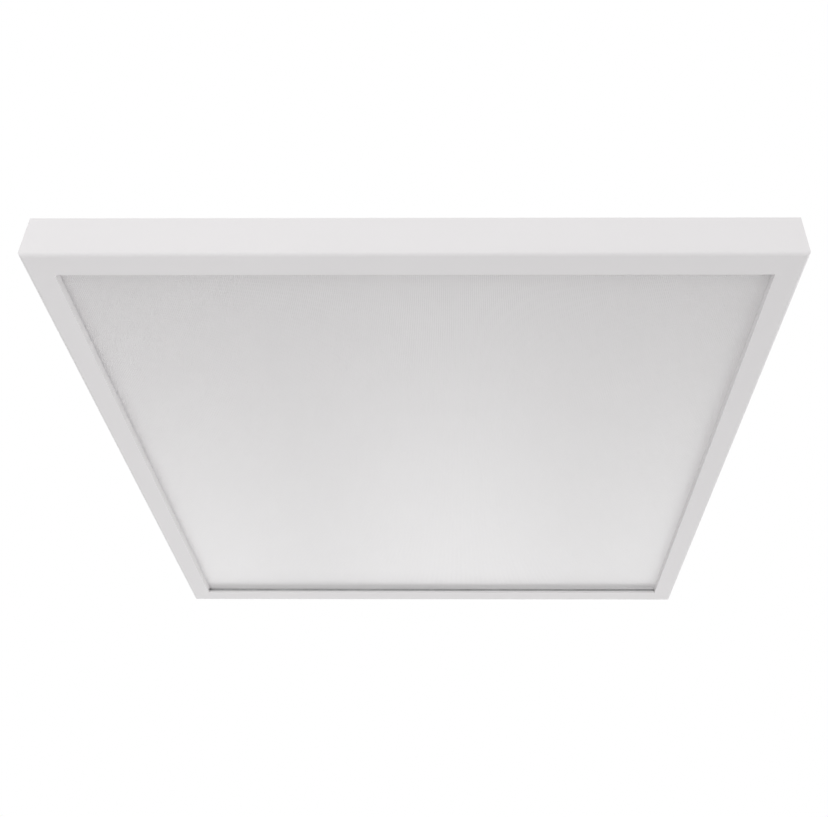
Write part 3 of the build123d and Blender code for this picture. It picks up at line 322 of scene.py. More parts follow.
def rubber_skin(shade: Shade, finish: Finish) -> None:
    """Matt rubber with a pale bloom of dust."""
    grain, bloom = shade.noise(0.3 * MM), shade.noise(12 * MM, 4.0)
    shade.wear(finish, (bloom, 0.35), (bloom, 0.08, 0.05), (grain, 0.015 * MM))


def prism_sheet(shade: Shade, finish: Finish) -> None:
    """Cross grooves that turn the sheet's modelled prisms into small pyramids.

    Args:
        shade: the material's nodes.
        finish: its finish.
    """
    cloud = shade.noise(120 * MM, 2.0)
    shade.tint(finish.colour, cloud, 0.008)
    for socket, value in (
        ("Diffuse Roughness", 1.0),
        ("Sheen Weight", 1.0),
        ("Sheen Roughness", 0.5),
        ("Coat Roughness", 0.3),
    ):
        shade.shader.inputs[socket].default_value = value
    grooves, grain = shade.grooves("Y", PRISM_PITCH), shade.noise(0.5 * MM)
    shade.relief((grooves, 0.1 * MM), (grain, 0.004 * MM))


def printed_dots(shade: Shade, finish: Finish) -> None:
    """Clear acrylic with a printed grid of white dots, which send the light out.

    Args:
        shade: the material's nodes.
        finish: its finish.
    """
    dot = shade.dots(1.5 * MM, 0.42 * MM)
    shade.blend(dot, (*finish.colour, 1.0), (0.96, 0.96, 0.95, 1.0))
    roughness = shade.remap(dot, 0, 1, (finish.roughness, 0.6))
    shade.links.new(roughness, shade.shader.inputs["Roughness"])
    shade.relief((dot, 0.01 * MM))


def foam_cells(shade: Shade, finish: Finish) -> None:
    """Small closed cells."""
    cells, cloud = shade.cells(0.9 * MM), shade.noise(30 * MM)
    shade.wear(finish, (cloud, 0.04), (cells, 0.05, 0.05), (cells, 0.25 * MM))


def board_tracks(shade: Shade, finish: Finish) -> None:
    """Solder mask with straight-edged copper under it, and tinned pads here and there.

    Args:
        shade: the material's nodes.
        finish: its finish.
    """
    layout = {"Scale": 1 / (12 * MM), "Mortar Size": 0.025, "Brick Width": 0.95, "Row Height": 0.5}
    pour = shade.add(
        "ShaderNodeTexBrick",
        {"Vector": shade.place, **layout},
        offset=0.37,
        squash=0.6,
        squash_frequency=3,
    ).outputs["Fac"]
    copper = shade.math("SUBTRACT", 1.0, pour)
    dots = shade.dots(2.54 * MM, 0.55 * MM)
    tinned = shade.math("GREATER_THAN", shade.noise(7 * MM, 0.0), 0.56)
    pads = shade.math("MULTIPLY", dots, tinned)
    dark = tuple(part * 0.6 for part in finish.colour)
    mask = shade.blend(copper, (*dark, 1.0), (*finish.colour, 1.0))
    shade.blend(pads, mask, (0.72, 0.7, 0.66, 1.0))
    shade.links.new(pads, shade.shader.inputs["Metallic"])
    shade.roughen(finish.roughness, copper, -0.1, 0.0)
    shade.relief((copper, 0.03 * MM))


def wound_tape(shade: Shade, finish: Finish) -> None:
    """Overlapping turns of tape."""
    turns = shade.grooves("Z", 1.8 * MM)
    shade.wear(finish, (turns, 0.06), (turns, 0.05, 0.05), (turns, 0.1 * MM))


def capacitor_sleeve(shade: Shade, finish: Finish) -> None:
    """A shrunk sleeve with a pale stripe, and the can's bare metal on top.

    Args:
        shade: the material's nodes.
        finish: its finish.
    """
    normal = shade.add("ShaderNodeNewGeometry").outputs["Normal"]
    parts = shade.add("ShaderNodeSeparateXYZ", {"Vector": normal})
    upright = shade.math("ABSOLUTE", parts.outputs["Z"])
    top = shade.math("GREATER_THAN", upright, 0.7)
    stripe = shade.math("GREATER_THAN", shade.grooves("X", 9 * MM), 0.82)
    sleeve = shade.blend(stripe, (*finish.colour, 1.0), (0.55, 0.56, 0.58, 1.0))
    shade.blend(top, sleeve, (0.8, 0.8, 0.82, 1.0))
    shade.links.new(top, shade.shader.inputs["Metallic"])
    shade.roughen(finish.roughness, shade.noise(1.5 * MM), 0.05, 0.1)
    shade.relief((shade.noise(2 * MM), 0.03 * MM))


TEXTURES: dict[Texture, Callable[[Shade, "Finish"], None]] = {
    Texture.POWDER: powder_coat,
    Texture.SATIN: satin_coat,
    Texture.PLATED: plating,
    Texture.TURNED: turning,
    Texture.SPARKED: spark_grain,
    Texture.MOULDED: smooth_moulding,
    Texture.RUBBER: rubber_skin,
    Texture.PRISMS: prism_sheet,
    Texture.DOTTED: printed_dots,
    Texture.CELLS: foam_cells,
    Texture.TRACKS: board_tracks,
    Texture.WOUND: wound_tape,
    Texture.SLEEVE: capacitor_sleeve,
}


@dataclass(frozen=True)
class Finish:
    """What one kind of surface is made of.

    Attributes:
        slot: the record's material slot.
        texture: the texture on top of the colour.
        colour: the base colour, linear.
        roughness: the middle roughness.
        metallic: 1 for bare metal.
        ior: the index of refraction.
        gloss: the specular level, 0.5 for a plain surface.
        coat: the weight of a clear coat.
    """

    slot: str
    texture: Texture
    colour: Colour
    roughness: float
    metallic: float = 0.0
    ior: float = 1.5
    gloss: float = 0.5
    coat: float = 0.0

    def material(self) -> bpy.types.Material:
        """The finish's material, made on the first call.

        Returns:
            The material.
        """
        found = bpy.data.materials.get(self.slot + "_finish")
        if found:
            return found
        shade = Shade(self.slot + "_finish")
        for socket, value in (
            ("Base Color", (*self.colour, 1.0)),
            ("Roughness", self.roughness),
            ("Metallic", self.metallic),
            ("IOR", self.ior),
            ("Specular IOR Level", self.gloss),
            ("Coat Weight", self.coat),
        ):
            shade.shader.inputs[socket].default_value = value
        TEXTURES[self.texture](shade, self)
        return shade.material


WHITE_PAINT: Colour = (0.83, 0.815, 0.82)
ACRYLIC_IOR = 1.49

FINISHES = {
    finish.slot: finish
    for finish in (
        Finish("frame_paint", Texture.POWDER, WHITE_PAINT, 0.5, gloss=0.2),
        Finish("module_paint", Texture.SATIN, (0.8, 0.79, 0.795), 0.42),
        Finish("back_plate_paint", Texture.SATIN, (0.78, 0.78, 0.775), 0.45),
        Finish("zinc_steel", Texture.PLATED, (0.62, 0.63, 0.65), 0.36, metallic=1.0),
        Finish("screw_steel", Texture.TURNED, (0.66, 0.67, 0.69), 0.28, metallic=1.0),
        Finish("spring_steel", Texture.TURNED, (0.6, 0.6, 0.6), 0.32, metallic=1.0),
        Finish("contact_brass", Texture.TURNED, (0.72, 0.52, 0.25), 0.3, metallic=1.0),
        # The seal strip is a real rubber part, but its dark grey along the far lip is painted shade:
        # it stands in for the shadow in the gap there.
        Finish("seal_rubber", Texture.RUBBER, (0.42, 0.42, 0.423), 0.8),
        Finish("grommet_rubber", Texture.RUBBER, (0.035, 0.035, 0.037), 0.75),
        Finish(
            "diffuser_acrylic",
            Texture.PRISMS,
            (0.66, 0.645, 0.65),
            0.34,
            ior=ACRYLIC_IOR,
            gloss=0.9,
            coat=1.0,
        ),
        Finish("light_guide_acrylic", Texture.DOTTED, (0.74, 0.79, 0.82), 0.08, ior=ACRYLIC_IOR),
        Finish("reflector_film", Texture.MOULDED, (0.92, 0.92, 0.92), 0.25),
        Finish("foam", Texture.CELLS, (0.62, 0.62, 0.63), 0.9),
        Finish("led_board_mask", Texture.MOULDED, (0.88, 0.88, 0.86), 0.35),
        Finish("led_phosphor", Texture.MOULDED, (0.9, 0.62, 0.08), 0.3),
        Finish("driver_plastic", Texture.SPARKED, (0.76, 0.76, 0.75), 0.5),
        Finish("terminal_plastic", Texture.SPARKED, (0.42, 0.44, 0.45), 0.45),
        Finish("button_plastic", Texture.MOULDED, (0.8, 0.19, 0.02), 0.32),
        Finish("circuit_board", Texture.TRACKS, (0.015, 0.12, 0.045), 0.3),
        Finish("ferrite", Texture.MOULDED, (0.05, 0.05, 0.055), 0.6),
        Finish("winding_tape", Texture.WOUND, (0.75, 0.48, 0.04), 0.4),
        Finish("capacitor_sleeve", Texture.SLEEVE, (0.02, 0.022, 0.03), 0.3),
        Finish("lead_white", Texture.MOULDED, (0.74, 0.74, 0.72), 0.45),
        Finish("connector_plastic", Texture.SPARKED, (0.03, 0.03, 0.032), 0.5),
    )
}


class Tree(Graph):
    """A Geometry Nodes tree while it is put together."""

    def __init__(self, name: str) -> None:
        """Starts a tree with a geometry input and output.

        Args:
            name: the tree's name.
        """
        self.group = bpy.data.node_groups.new(name, "GeometryNodeTree")
        super().__init__(self.group)
        self.identifiers: dict[str, str] = {}
        for way in ("OUTPUT", "INPUT"):
            self.group.interface.new_socket(
                name="Geometry", in_out=way, socket_type="NodeSocketGeometry"
            )
        self.entry = self.nodes.new("NodeGroupInput")
        self.exit = self.nodes.new("NodeGroupOutput")

    def named(self, label: str, kind: str = "NodeSocketFloat") -> Socket:
        """Adds a named input to the tree.

        Args:
            label: the input's name.
            kind: the socket's type.

        Returns:
            The socket that gives its value inside the tree.
        """
        socket = self.group.interface.new_socket(name=label, in_out="INPUT", socket_type=kind)
        self.identifiers[label] = socket.identifier
        return self.entry.outputs[label]

    def end(self, geometry: Socket, material: bpy.types.Material | None = None) -> None:
        """Ends the tree: instances become real, and the material is set if one is given.

        Args:
            geometry: what the tree made.
            material: its material, or None where its patterns bring their own.
        """
        last = self.add("GeometryNodeRealizeInstances", {"Geometry": geometry})
        if material:
            inputs = {"Geometry": last.outputs[0], "Material": material}
            last = self.add("GeometryNodeSetMaterial", inputs)
        self.links.new(last.outputs[0], self.exit.inputs["Geometry"])

    def grow(
        self, name: str, start: bpy.types.Mesh, values: dict[str, object]
    ) -> bpy.types.Object:
        """Runs the tree on a mesh.

        Args:
            name: the new object's name.
            start: the mesh that goes in.
            values: a value for each named input.

        Returns:
            A plain mesh object with what the tree made.
        """
        piece = bpy.data.objects.new(name, start)
        bpy.context.scene.collection.objects.link(piece)
        modifier = piece.modifiers.new("nodes", "NODES")
        modifier.node_group = self.group
        for label, value in values.items():
            modifier[self.identifiers[label]] = value
        return settle(piece)


def settle(piece: bpy.types.Object) -> bpy.types.Object:
    """Turns an object with modifiers into a plain mesh.

    Args:
        piece: the object.

    Returns:
        The same object.
    """
    bpy.context.view_layer.update()
    graph = bpy.context.evaluated_depsgraph_get()
    mesh = bpy.data.meshes.new_from_object(piece.evaluated_get(graph))
    piece.modifiers.clear()
    piece.data = mesh
    mesh.name = piece.name
    return piece


def smooth(mesh: bpy.types.Mesh) -> None:
    """Shades a mesh smooth, apart from its sharp edges."""
    mesh.polygons.foreach_set("use_smooth", [True] * len(mesh.polygons))
    mesh.set_sharp_from_angle(angle=SHARP)


def solids(node: str) -> list[Corners]:
    """The lowest and highest corner of each separate solid in a CAD node.

    Args:
        node: the node's name.

    Returns:
        One pair of corners for each solid, in order along Y, then X.
    """
    shape = bmesh.new()
    shape.from_mesh(bpy.data.objects[node].data)
    bmesh.ops.remove_doubles(shape, verts=shape.verts, dist=0.001 * MM)
    waiting, found = set(shape.verts), []
    while waiting:
        front = [waiting.pop()]
        island = list(front)
        while front:
            for edge in front.pop().link_edges:
                for vertex in edge.verts:
                    if vertex in waiting:
                        waiting.remove(vertex)
                        front.append(vertex)
                        island.append(vertex)
        places = [vertex.co for vertex in island]
        low = Vector([min(place[i] for place in places) for i in range(3)])
        high = Vector([max(place[i] for place in places) for i in range(3)])
        found.append((low, high))
    shape.free()
    return sorted(found, key=lambda pair: (round(pair[0].y, 5), round(pair[0].x, 5)))


def lathe(name: str, outline: Sequence[tuple[float, float]], steps: int = 32) -> bpy.types.Mesh:
    """A turned solid.

    Args:
        name: the mesh's name.
        outline: pairs of radius and height, from the axis at one end to the axis at the other.
        steps: how many sides it has.

    Returns:
        A closed mesh round the Z axis, with its faces pointing outwards.
    """
    shape = bmesh.new()
    rings = []
    for radius, height in outline:
        turns = range(steps) if radius > 0 else range(1)
        angles = [2 * math.pi * turn / steps for turn in turns]
        places = [(radius * math.cos(a), radius * math.sin(a), height) for a in angles]
        rings.append([shape.verts.new(place) for place in places])
    for lower, upper in zip(rings, rings[1:]):
        for i in range(steps):
            corners = [lower[(i + step) % len(lower)] for step in (0, 1)]
            corners += [upper[(i + step) % len(upper)] for step in (1, 0)]
            shape.faces.new(list(dict.fromkeys(corners)))
    bmesh.ops.recalc_face_normals(shape, faces=shape.faces)
    mesh = bpy.data.meshes.new(name)
    shape.to_mesh(mesh)
    shape.free()
    return mesh


def arc(radius: float, height: float, base: float, steps: int = 6) -> list[tuple[float, float]]:
    """Points of a quarter ellipse, from radius at base up to the axis at base + height.

    Args:
        radius: its radius at the base.
        height: how high it rises.
        base: where it starts.
        steps: how many straight pieces it has.

    Returns:
        Pairs of radius and height.
    """
    angles = [math.pi / 2 * step / steps for step in range(steps)]
    rising = [(radius * math.cos(a), base + height * math.sin(a)) for a in angles]
    return rising + [(0.0, base + height)]


def block(name: str, size: Sequence[float], centre: Sequence[float]) -> bpy.types.Object:
    """A loose rectangular block.

    Args:
        name: its name.
        size: its size along each axis.
        centre: where its middle is.

    Returns:
        The block, which is a cutter or a pattern and is removed after use.
    """
    shape = bmesh.new()
    bmesh.ops.create_cube(shape, size=1.0)
    bmesh.ops.scale(shape, vec=Vector(size), verts=shape.verts)
    bmesh.ops.translate(shape, vec=Vector(centre), verts=shape.verts)
    mesh = bpy.data.meshes.new(name)
    shape.to_mesh(mesh)
    shape.free()
    piece = bpy.data.objects.new(name, mesh)
    bpy.context.scene.collection.objects.link(piece)
    return piece


def cut(mesh: bpy.types.Mesh, cutters: Iterable[bpy.types.Object]) -> bpy.types.Object:
    """Takes some cutters out of a mesh.

    Args:
        mesh: the mesh to cut.
        cutters: objects that are removed afterwards.

    Returns:
        A new object with the cut mesh.
    """
    piece = bpy.data.objects.new(mesh.name, mesh)
    bpy.context.scene.collection.objects.link(piece)
    cutters = list(cutters)
    for cutter in cutters:
        modifier = piece.modifiers.new(cutter.name, "BOOLEAN")
        modifier.operation, modifier.solver, modifier.object = "DIFFERENCE", "EXACT", cutter
    settle(piece)
    for cutter in cutters:
        bpy.data.objects.remove(cutter)
    smooth(piece.data)
    return piece


class Head(Enum):
    """The heads that the fasteners have."""

    PAN = "pan"
    COUNTERSUNK = "countersunk"
    GRUB = "grub"
    RIVET = "rivet"


# Shares of a fastener's own radius, head radius and head height.
TIP_SHARE = 0.7
PAN_WALL, PAN_BEARING = 0.35, 0.97
RECESS_REACH, RECESS_WIDTH, RECESS_DEPTH = 1.15, 0.26, 0.62
HEXAGON_RADIUS, HEXAGON_DEPTH = 0.55, 0.45
# How far each fastener's recess is turned from the last one's, in radians.
TURN = 0.9


@dataclass
class Fasteners:
    """A group of equal fasteners that stand where a CAD node's solids are.

    Attributes:
        node: the CAD node that they stand for.
        body: the body that they move with.
        head: the kind of head.
        radius: the shank's radius.
        head_radius: the head's radius.
        head_height: the head's height above what it bears on.
        outward: the way a fastener's head points, for the middle of its solid.
    """

    node: str
    body: str
    head: Head
    radius: float
    head_radius: float
    head_height: float
    outward: Callable[[Vector], Vector]

    def outline(self, length: float) -> list[tuple[float, float]]:
        """The fastener's outline, with its top end at height 0.

        Args:
            length: its whole length.

        Returns:
            Pairs of radius and height.
        """
        chamfer = self.radius * (1 - TIP_SHARE)
        tip = [(0.0, -length), (self.radius * TIP_SHARE, -length), (self.radius, chamfer - length)]
        if self.head is Head.PAN:
            wall = PAN_WALL * self.head_height
            bearing = [
                (self.radius, -self.head_height),
                (self.head_radius * PAN_BEARING, -self.head_height),
                (self.head_radius, 0.08 * MM - self.head_height),
            ]
            dome = arc(self.head_radius, self.head_height - wall, wall - self.head_height)
            return tip + bearing + dome
        if self.head is Head.COUNTERSUNK:
            cone = [(self.radius, self.radius - self.head_radius), (self.head_radius, -0.06 * MM)]
            return tip + cone + [(self.head_radius * 0.98, 0.0), (0.0, 0.0)]
        if self.head is Head.GRUB:
            return tip + [(self.radius, -0.3 * MM), (self.radius * 0.85, 0.0), (0.0, 0.0)]
        formed = [
            (0.0, -length),
            (self.head_radius * 0.8, 0.25 * MM - length),
            (self.head_radius, 0.9 * MM - length),
        ]
        shank = [(self.radius, MM - length), (self.radius, self.radius - self.head_radius)]
        return formed + shank + [(self.head_radius, 0.0), (0.0, 0.0)]

    def recess(self) -> list[bpy.types.Object]:
        """Cutters for the driver recess in the head's top.

        Returns:
            Loose objects round the origin, none for a rivet.
        """
        if self.head is Head.RIVET:
            return []
        if self.head is Head.GRUB:
            across, bottom = self.radius * HEXAGON_RADIUS, -HEXAGON_DEPTH * self.head_height
            outline = [(0.0, bottom), (across, bottom), (across, MM), (0.0, MM)]
            socket = bpy.data.objects.new("hexagon", lathe("hexagon", outline, steps=6))
            bpy.context.scene.collection.objects.link(socket)
            return [socket]
        across, slot = self.head_radius * RECESS_REACH, self.head_radius * RECESS_WIDTH
        depth = 2 * self.head_height * RECESS_DEPTH
        sizes = ((across, slot, depth), (slot, across, depth))
        return [block("recess", size, (0, 0, 0)) for size in sizes]

    def build(self) -> bpy.types.Object:
        """Puts a fastener in the place of each of the node's solids.

        Returns:
            The finished piece.
        """
        finish = FINISHES["screw_steel"].material()
        found = solids(self.node)
        middles = [(low + high) / 2 for low, high in found]
        axes = [self.outward(middle).normalized() for middle in middles]
        reach = [abs((high - low).dot(axis)) for (low, high), axis in zip(found, axes)]
        pattern = cut(lathe(self.node + "_pattern", self.outline(reach[0])), self.recess())

        points = bpy.data.meshes.new(self.node + "_points")
        tops = [middle + axis * length / 2 for middle, axis, length in zip(middles, axes, reach)]
        points.from_pydata(tops, [], [])
        heading = points.attributes.new("heading", "FLOAT_VECTOR", "POINT")
        heading.data.foreach_set("vector", [part for axis in axes for part in axis])

        tree = Tree("fasteners")
        screw, turn = tree.named("Pattern", "NodeSocketObject"), tree.named("Turn")
        source = tree.add("GeometryNodeObjectInfo", {"Object": screw}).outputs["Geometry"]
        named = tree.add(
            "GeometryNodeInputNamedAttribute", {"Name": "heading"}, data_type="FLOAT_VECTOR"
        )
        aligned = tree.add(
            "FunctionNodeAlignRotationToVector", {"Vector": named.outputs["Attribute"]}, axis="Z"
        )
        angle = tree.math("MULTIPLY", tree.add("GeometryNodeInputIndex").outputs[0], turn)
        angles = tree.add("ShaderNodeCombineXYZ", {"Z": angle}).outputs[0]
        spin = tree.add("FunctionNodeEulerToRotation", {0: angles}).outputs[0]
        turned = tree.add(
            "FunctionNodeRotateRotation",
            {"Rotation": aligned.outputs[0], "Rotate By": spin},
            rotation_space="LOCAL",
        )
        stands = tree.entry.outputs["Geometry"]
        placed = tree.add(
            "GeometryNodeInstanceOnPoints",
            {"Points": stands, "Instance": source, "Rotation": turned.outputs[0]},
        )
        tree.end(placed.outputs[0], finish)
        piece = tree.grow(self.node + "_dressed", points, {"Pattern": pattern, "Turn": TURN})
        bpy.data.objects.remove(pattern)
        return attach(piece, self.body, "screw_steel", self.node)


def attach(piece: bpy.types.Object, body: str, slot: str, *nodes: str) -> bpy.types.Object:
    """Makes a finished piece ride on a body and stand for CAD nodes.

    Args:
        piece: the finished piece.
        body: the body that it moves with.
        slot: the record's material slot; not used.
        nodes: the CAD nodes that it stands for.

    Returns:
        The piece.
    """
    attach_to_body(piece, body)
    if nodes:
        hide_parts(*nodes)
    LOG.info("%s: %d faces on %s", piece.name, len(piece.data.polygons), body)
    return piece


@dataclass
class OpticalStack:
    """The panel module's light-giving parts.

    Attributes:
        pitch: the distance from prism to prism.
        depth: the prisms' height.
        package_wall: the thickness of an LED package's rim.
        dish: how deep the phosphor lies in its package.
    """

    pitch: float = PRISM_PITCH
    depth: float = 0.15 * MM
    package_wall: float = 0.28 * MM
    dish: float = 0.15 * MM

    def sheet(self) -> bpy.types.Object:
        """The diffuser: an opal sheet whose lower face is a row of fine prisms.

        Returns:
            The finished piece.
        """
        low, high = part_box("diffuser")
        size, middle = high - low, (low + high) / 2
        tree = Tree("prism_sheet")
        width, length, thickness = (tree.named(label) for label in ("Width", "Length", "Thickness"))
        pitch, depth = tree.named("Pitch"), tree.named("Depth")
        flanks = tree.math("DIVIDE", width, tree.math("DIVIDE", pitch, 2.0))
        columns = tree.math("ADD", tree.math("ROUND", flanks), 1.0)
        extent = tree.add("ShaderNodeCombineXYZ", {"X": width, "Y": length, "Z": thickness})
        plain = tree.add("GeometryNodeMeshCube", {"Size": extent.outputs[0], "Vertices X": columns})
        position = tree.add("GeometryNodeInputPosition").outputs[0]
        place = tree.add("ShaderNodeSeparateXYZ", {0: position})
        step = tree.math("DIVIDE", width, tree.math("SUBTRACT", columns, 1.0))
        from_left = tree.math("ADD", place.outputs["X"], tree.math("DIVIDE", width, 2.0))
        column = tree.math("ROUND", tree.math("DIVIDE", from_left, step))
        valley = tree.math("MODULO", column, 2.0)
        lower = tree.math("LESS_THAN", place.outputs["Z"], 0.0)
        lift = tree.math("MULTIPLY", tree.math("MULTIPLY", valley, lower), depth)
        offset = tree.add("ShaderNodeCombineXYZ", {"Z": lift}).outputs[0]
        ribbed = tree.add(
            "GeometryNodeSetPosition", {"Geometry": plain.outputs[0], "Offset": offset}
        )
        centre = tree.named("Middle", "NodeSocketVector")
        inputs = {"Geometry": ribbed.outputs[0], "Translation": centre}
        moved = tree.add("GeometryNodeTransform", inputs)
        tree.end(moved.outputs[0], FINISHES["diffuser_acrylic"].material())
        values = {
            "Width": size.x,
            "Length": size.y,
            "Thickness": size.z,
            "Pitch": self.pitch,
            "Depth": self.depth,
            "Middle": tuple(middle),
        }
        piece = tree.grow("diffuser_sheet", bpy.data.meshes.new("diffuser_start"), values)
        return attach(piece, "module", "diffuser_acrylic", "diffuser")

    def package(self, size: Vector, way: float) -> bpy.types.Object:
        """One LED: a white package with the phosphor in a shallow dish.

        Args:
            size: the package's outer size.
            way: 1 if it shines along +X, -1 if along -X.

        Returns:
            A pattern object round the origin, to be removed after use.
        """
        pattern = block("led_pattern", size, (0, 0, 0))
        shape = bmesh.new()
        shape.from_mesh(pattern.data)
        front = next(face for face in shape.faces if face.normal.x * way > 0.9)
        wall = self.package_wall
        bmesh.ops.inset_region(shape, faces=[front], thickness=wall, depth=0.0)
        bmesh.ops.inset_region(shape, faces=[front], thickness=wall / 2, depth=-self.dish)
        front.material_index = 1
        shape.to_mesh(pattern.data)
        shape.free()
        for slot in ("led_board_mask", "led_phosphor"):
            pattern.data.materials.append(FINISHES[slot].material())
        return pattern

    def leds(self, side: str, way: float) -> bpy.types.Object:
        """The row of LEDs on one board.

        Args:
            side: left or right.
            way: 1 if they shine along +X, -1 if along -X.

        Returns:
            The finished piece.
        """
        node = f"leds_{side}"
        found = solids(node)
        first, last = ((low + high) / 2 for low, high in (found[0], found[-1]))
        tree = Tree("led_row")
        pattern = tree.named("Pattern", "NodeSocketObject")
        count = tree.named("Count", "NodeSocketInt")
        start, end = (tree.named(label, "NodeSocketVector") for label in ("Start", "End"))
        row = tree.add(
            "GeometryNodeMeshLine",
            {"Count": count, "Start Location": start, "Offset": end},
            mode="END_POINTS",
        )
        source = tree.add("GeometryNodeObjectInfo", {"Object": pattern}).outputs["Geometry"]
        placed = tree.add(
            "GeometryNodeInstanceOnPoints", {"Points": row.outputs[0], "Instance": source}
        )
        tree.end(placed.outputs[0])
        led = self.package(found[0][1] - found[0][0], way)
        values = {"Pattern": led, "Count": len(found), "Start": tuple(first), "End": tuple(last)}
        piece = tree.grow(node + "_dressed", bpy.data.meshes.new(node + "_start"), values)
        bpy.data.objects.remove(led)
        return attach(piece, "module", "led_phosphor", node)

    def build(self) -> None:
        """Makes the sheet and both rows of LEDs."""
        self.sheet()
        for side, way in (("left", 1.0), ("right", -1.0)):
            self.leds(side, way)


@dataclass
class Connector:
    """The round in-line connector between the driver's lead and the module's.

    Attributes:
        ribs: how many grip ribs stand round each half.
        rib_height: how far they stand out.
        tail: the length of the tapered tail.
        collar: the plain length next to the mating face.
        edge: the chamfer of its edges.
        bore: how deep the lead's hole is.
        panel_lead_radius: the radius of the lead that goes in the socket.
    """

    ribs: int = 20
    rib_height: float = 0.45 * MM
    tail: float = 8 * MM
    collar: float = 3 * MM
    edge: float = 0.3 * MM
    bore: float = 4 * MM
    panel_lead_radius: float = 1.1 * MM

    def half(self, node: str, way: float, mate_x: float, lead_radius: float) -> bpy.types.Object:
        """One half, with grip ribs round its barrel.

        Args:
            node: the CAD node that it stands for.
            way: -1 for the half on the -X side, 1 for the other.
            mate_x: where the halves meet.
            lead_radius: the radius of the lead that goes in.

        Returns:
            The finished piece.
        """
        low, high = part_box(node)
        outer = (high.z - low.z) / 2
        centre = Vector((mate_x, (low.y + high.y) / 2, (low.z + high.z) / 2))
        length = (mate_x - low.x) if way < 0 else (high.x - mate_x)
        barrel = outer - self.rib_height
        hole = lead_radius + 0.05 * MM
        outline = [
            (0.0, 0.0),
            (outer - self.edge, 0.0),
            (outer, self.edge),
            (outer, self.collar - self.edge),
            (outer - self.edge, self.collar),
            (barrel, self.collar),
            (barrel, length - self.tail),
            (lead_radius + 1.6 * MM, length - 0.4 * MM),
            (lead_radius + 1.2 * MM, length),
            (hole, length),
            (hole, length - self.bore),
            (0.0, length - self.bore),
        ]
        body = lathe(node + "_barrel", outline, steps=48)
        smooth(body)
        tree = Tree("grip_ribs")
        radius, count = tree.named("Radius"), tree.named("Count", "NodeSocketInt")
        rib_length, height = tree.named("Rib Length"), tree.named("Rib Height")
        ring = tree.add(
            "GeometryNodeMeshCircle", {"Vertices": count, "Radius": radius}, fill_type="NONE"
        )
        position = tree.add("GeometryNodeInputPosition").outputs[0]
        outwards = tree.add("FunctionNodeAlignRotationToVector", {"Vector": position}, axis="X")
        across = tree.math("MULTIPLY", height, 2.0)
        size = tree.add("ShaderNodeCombineXYZ", {"X": across, "Y": height, "Z": rib_length})
        rib = tree.add("GeometryNodeMeshCube", {"Size": size.outputs[0]})
        placed = tree.add(
            "GeometryNodeInstanceOnPoints",
            {
                "Points": ring.outputs[0],
                "Instance": rib.outputs[0],
                "Rotation": outwards.outputs[0],
            },
        )
        lift = tree.named("Lift", "NodeSocketVector")
        inputs = {"Geometry": placed.outputs[0], "Translation": lift}
        lifted = tree.add("GeometryNodeTransform", inputs)
        joined = tree.add("GeometryNodeJoinGeometry")
        for geometry in (lifted.outputs[0], tree.entry.outputs["Geometry"]):
            tree.links.new(geometry, joined.inputs[0])
        tree.end(joined.outputs[0], FINISHES["connector_plastic"].material())
        rib_span = length - self.tail - self.collar - 2 * MM
        values = {
            "Radius": barrel,
            "Count": self.ribs,
            "Rib Length": rib_span,
            "Rib Height": self.rib_height * 0.95,
            "Lift": (0.0, 0.0, self.collar + MM + rib_span / 2),
        }
        piece = tree.grow(node + "_dressed", body, values)
        upright = Quaternion((0, 1, 0), way * math.pi / 2).to_matrix().to_4x4()
        piece.data.transform(Matrix.Translation(centre) @ upright)
        return attach(piece, "module", "connector_plastic", node)

    def build(self) -> None:
        """Makes both halves."""
        mate_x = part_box("lead_socket")[0].x
        ends = (("lead_plug", -1.0, "driver_lead"), ("lead_socket", 1.0, "panel_lead"))
        for node, way, lead in ends:
            low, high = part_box(lead)
            straight = lead == "driver_lead"
            lead_radius = (high.y - low.y) / 2 if straight else self.panel_lead_radius
            self.half(node, way, mate_x, lead_radius)


def dress_nodes(frame: dict) -> None:
    """Gives every CAD node the finish of its slot.
    """
    slots = {part["node"]: part["material_slot"] for part in frame["record"]["subparts"]}
    for name, node in frame["nodes"].items():
        material = FINISHES[slots[name]].material()
        if not node.material_slots:
            node.data.materials.append(material)
        for slot in node.material_slots:
            slot.material = material
        LOG.info("%s: finish %s", name, slots[name])


@dataclass(frozen=True)
class Lamp:
    """A round soft lamp that is aimed at the luminaire.

    Attributes:
        name: the lamp's name.
        power: what it adds to a white surface that faces it from where the luminaire is.
        side: where it stands, in degrees from straight in front towards the right.
        height: how high it stands, in degrees above the horizon.
        spread: how wide it looks, in degrees.
        distance: how far away it stands.
    """

    name: str
    power: float
    side: float
    height: float
    spread: float
    distance: float

    def build(self) -> None:
        """Adds the lamp to the scene."""
        data = bpy.data.lights.new(self.name, "AREA")
        half = math.radians(self.spread / 2)
        data.shape, data.size = "DISK", 2 * self.distance * math.tan(half)
        data.energy = self.power * (math.pi * self.distance / math.cos(half)) ** 2
        lamp = bpy.data.objects.new(self.name, data)
        turn, rise = math.radians(self.side), math.radians(self.height)
        level = math.cos(rise)
        towards = Vector((math.sin(turn) * level, -math.cos(turn) * level, math.sin(rise)))
        lamp.location = towards * self.distance
        lamp.rotation_mode = "QUATERNION"
        lamp.rotation_quaternion = towards.to_track_quat("Z", "Y")
        bpy.context.scene.collection.objects.link(lamp)


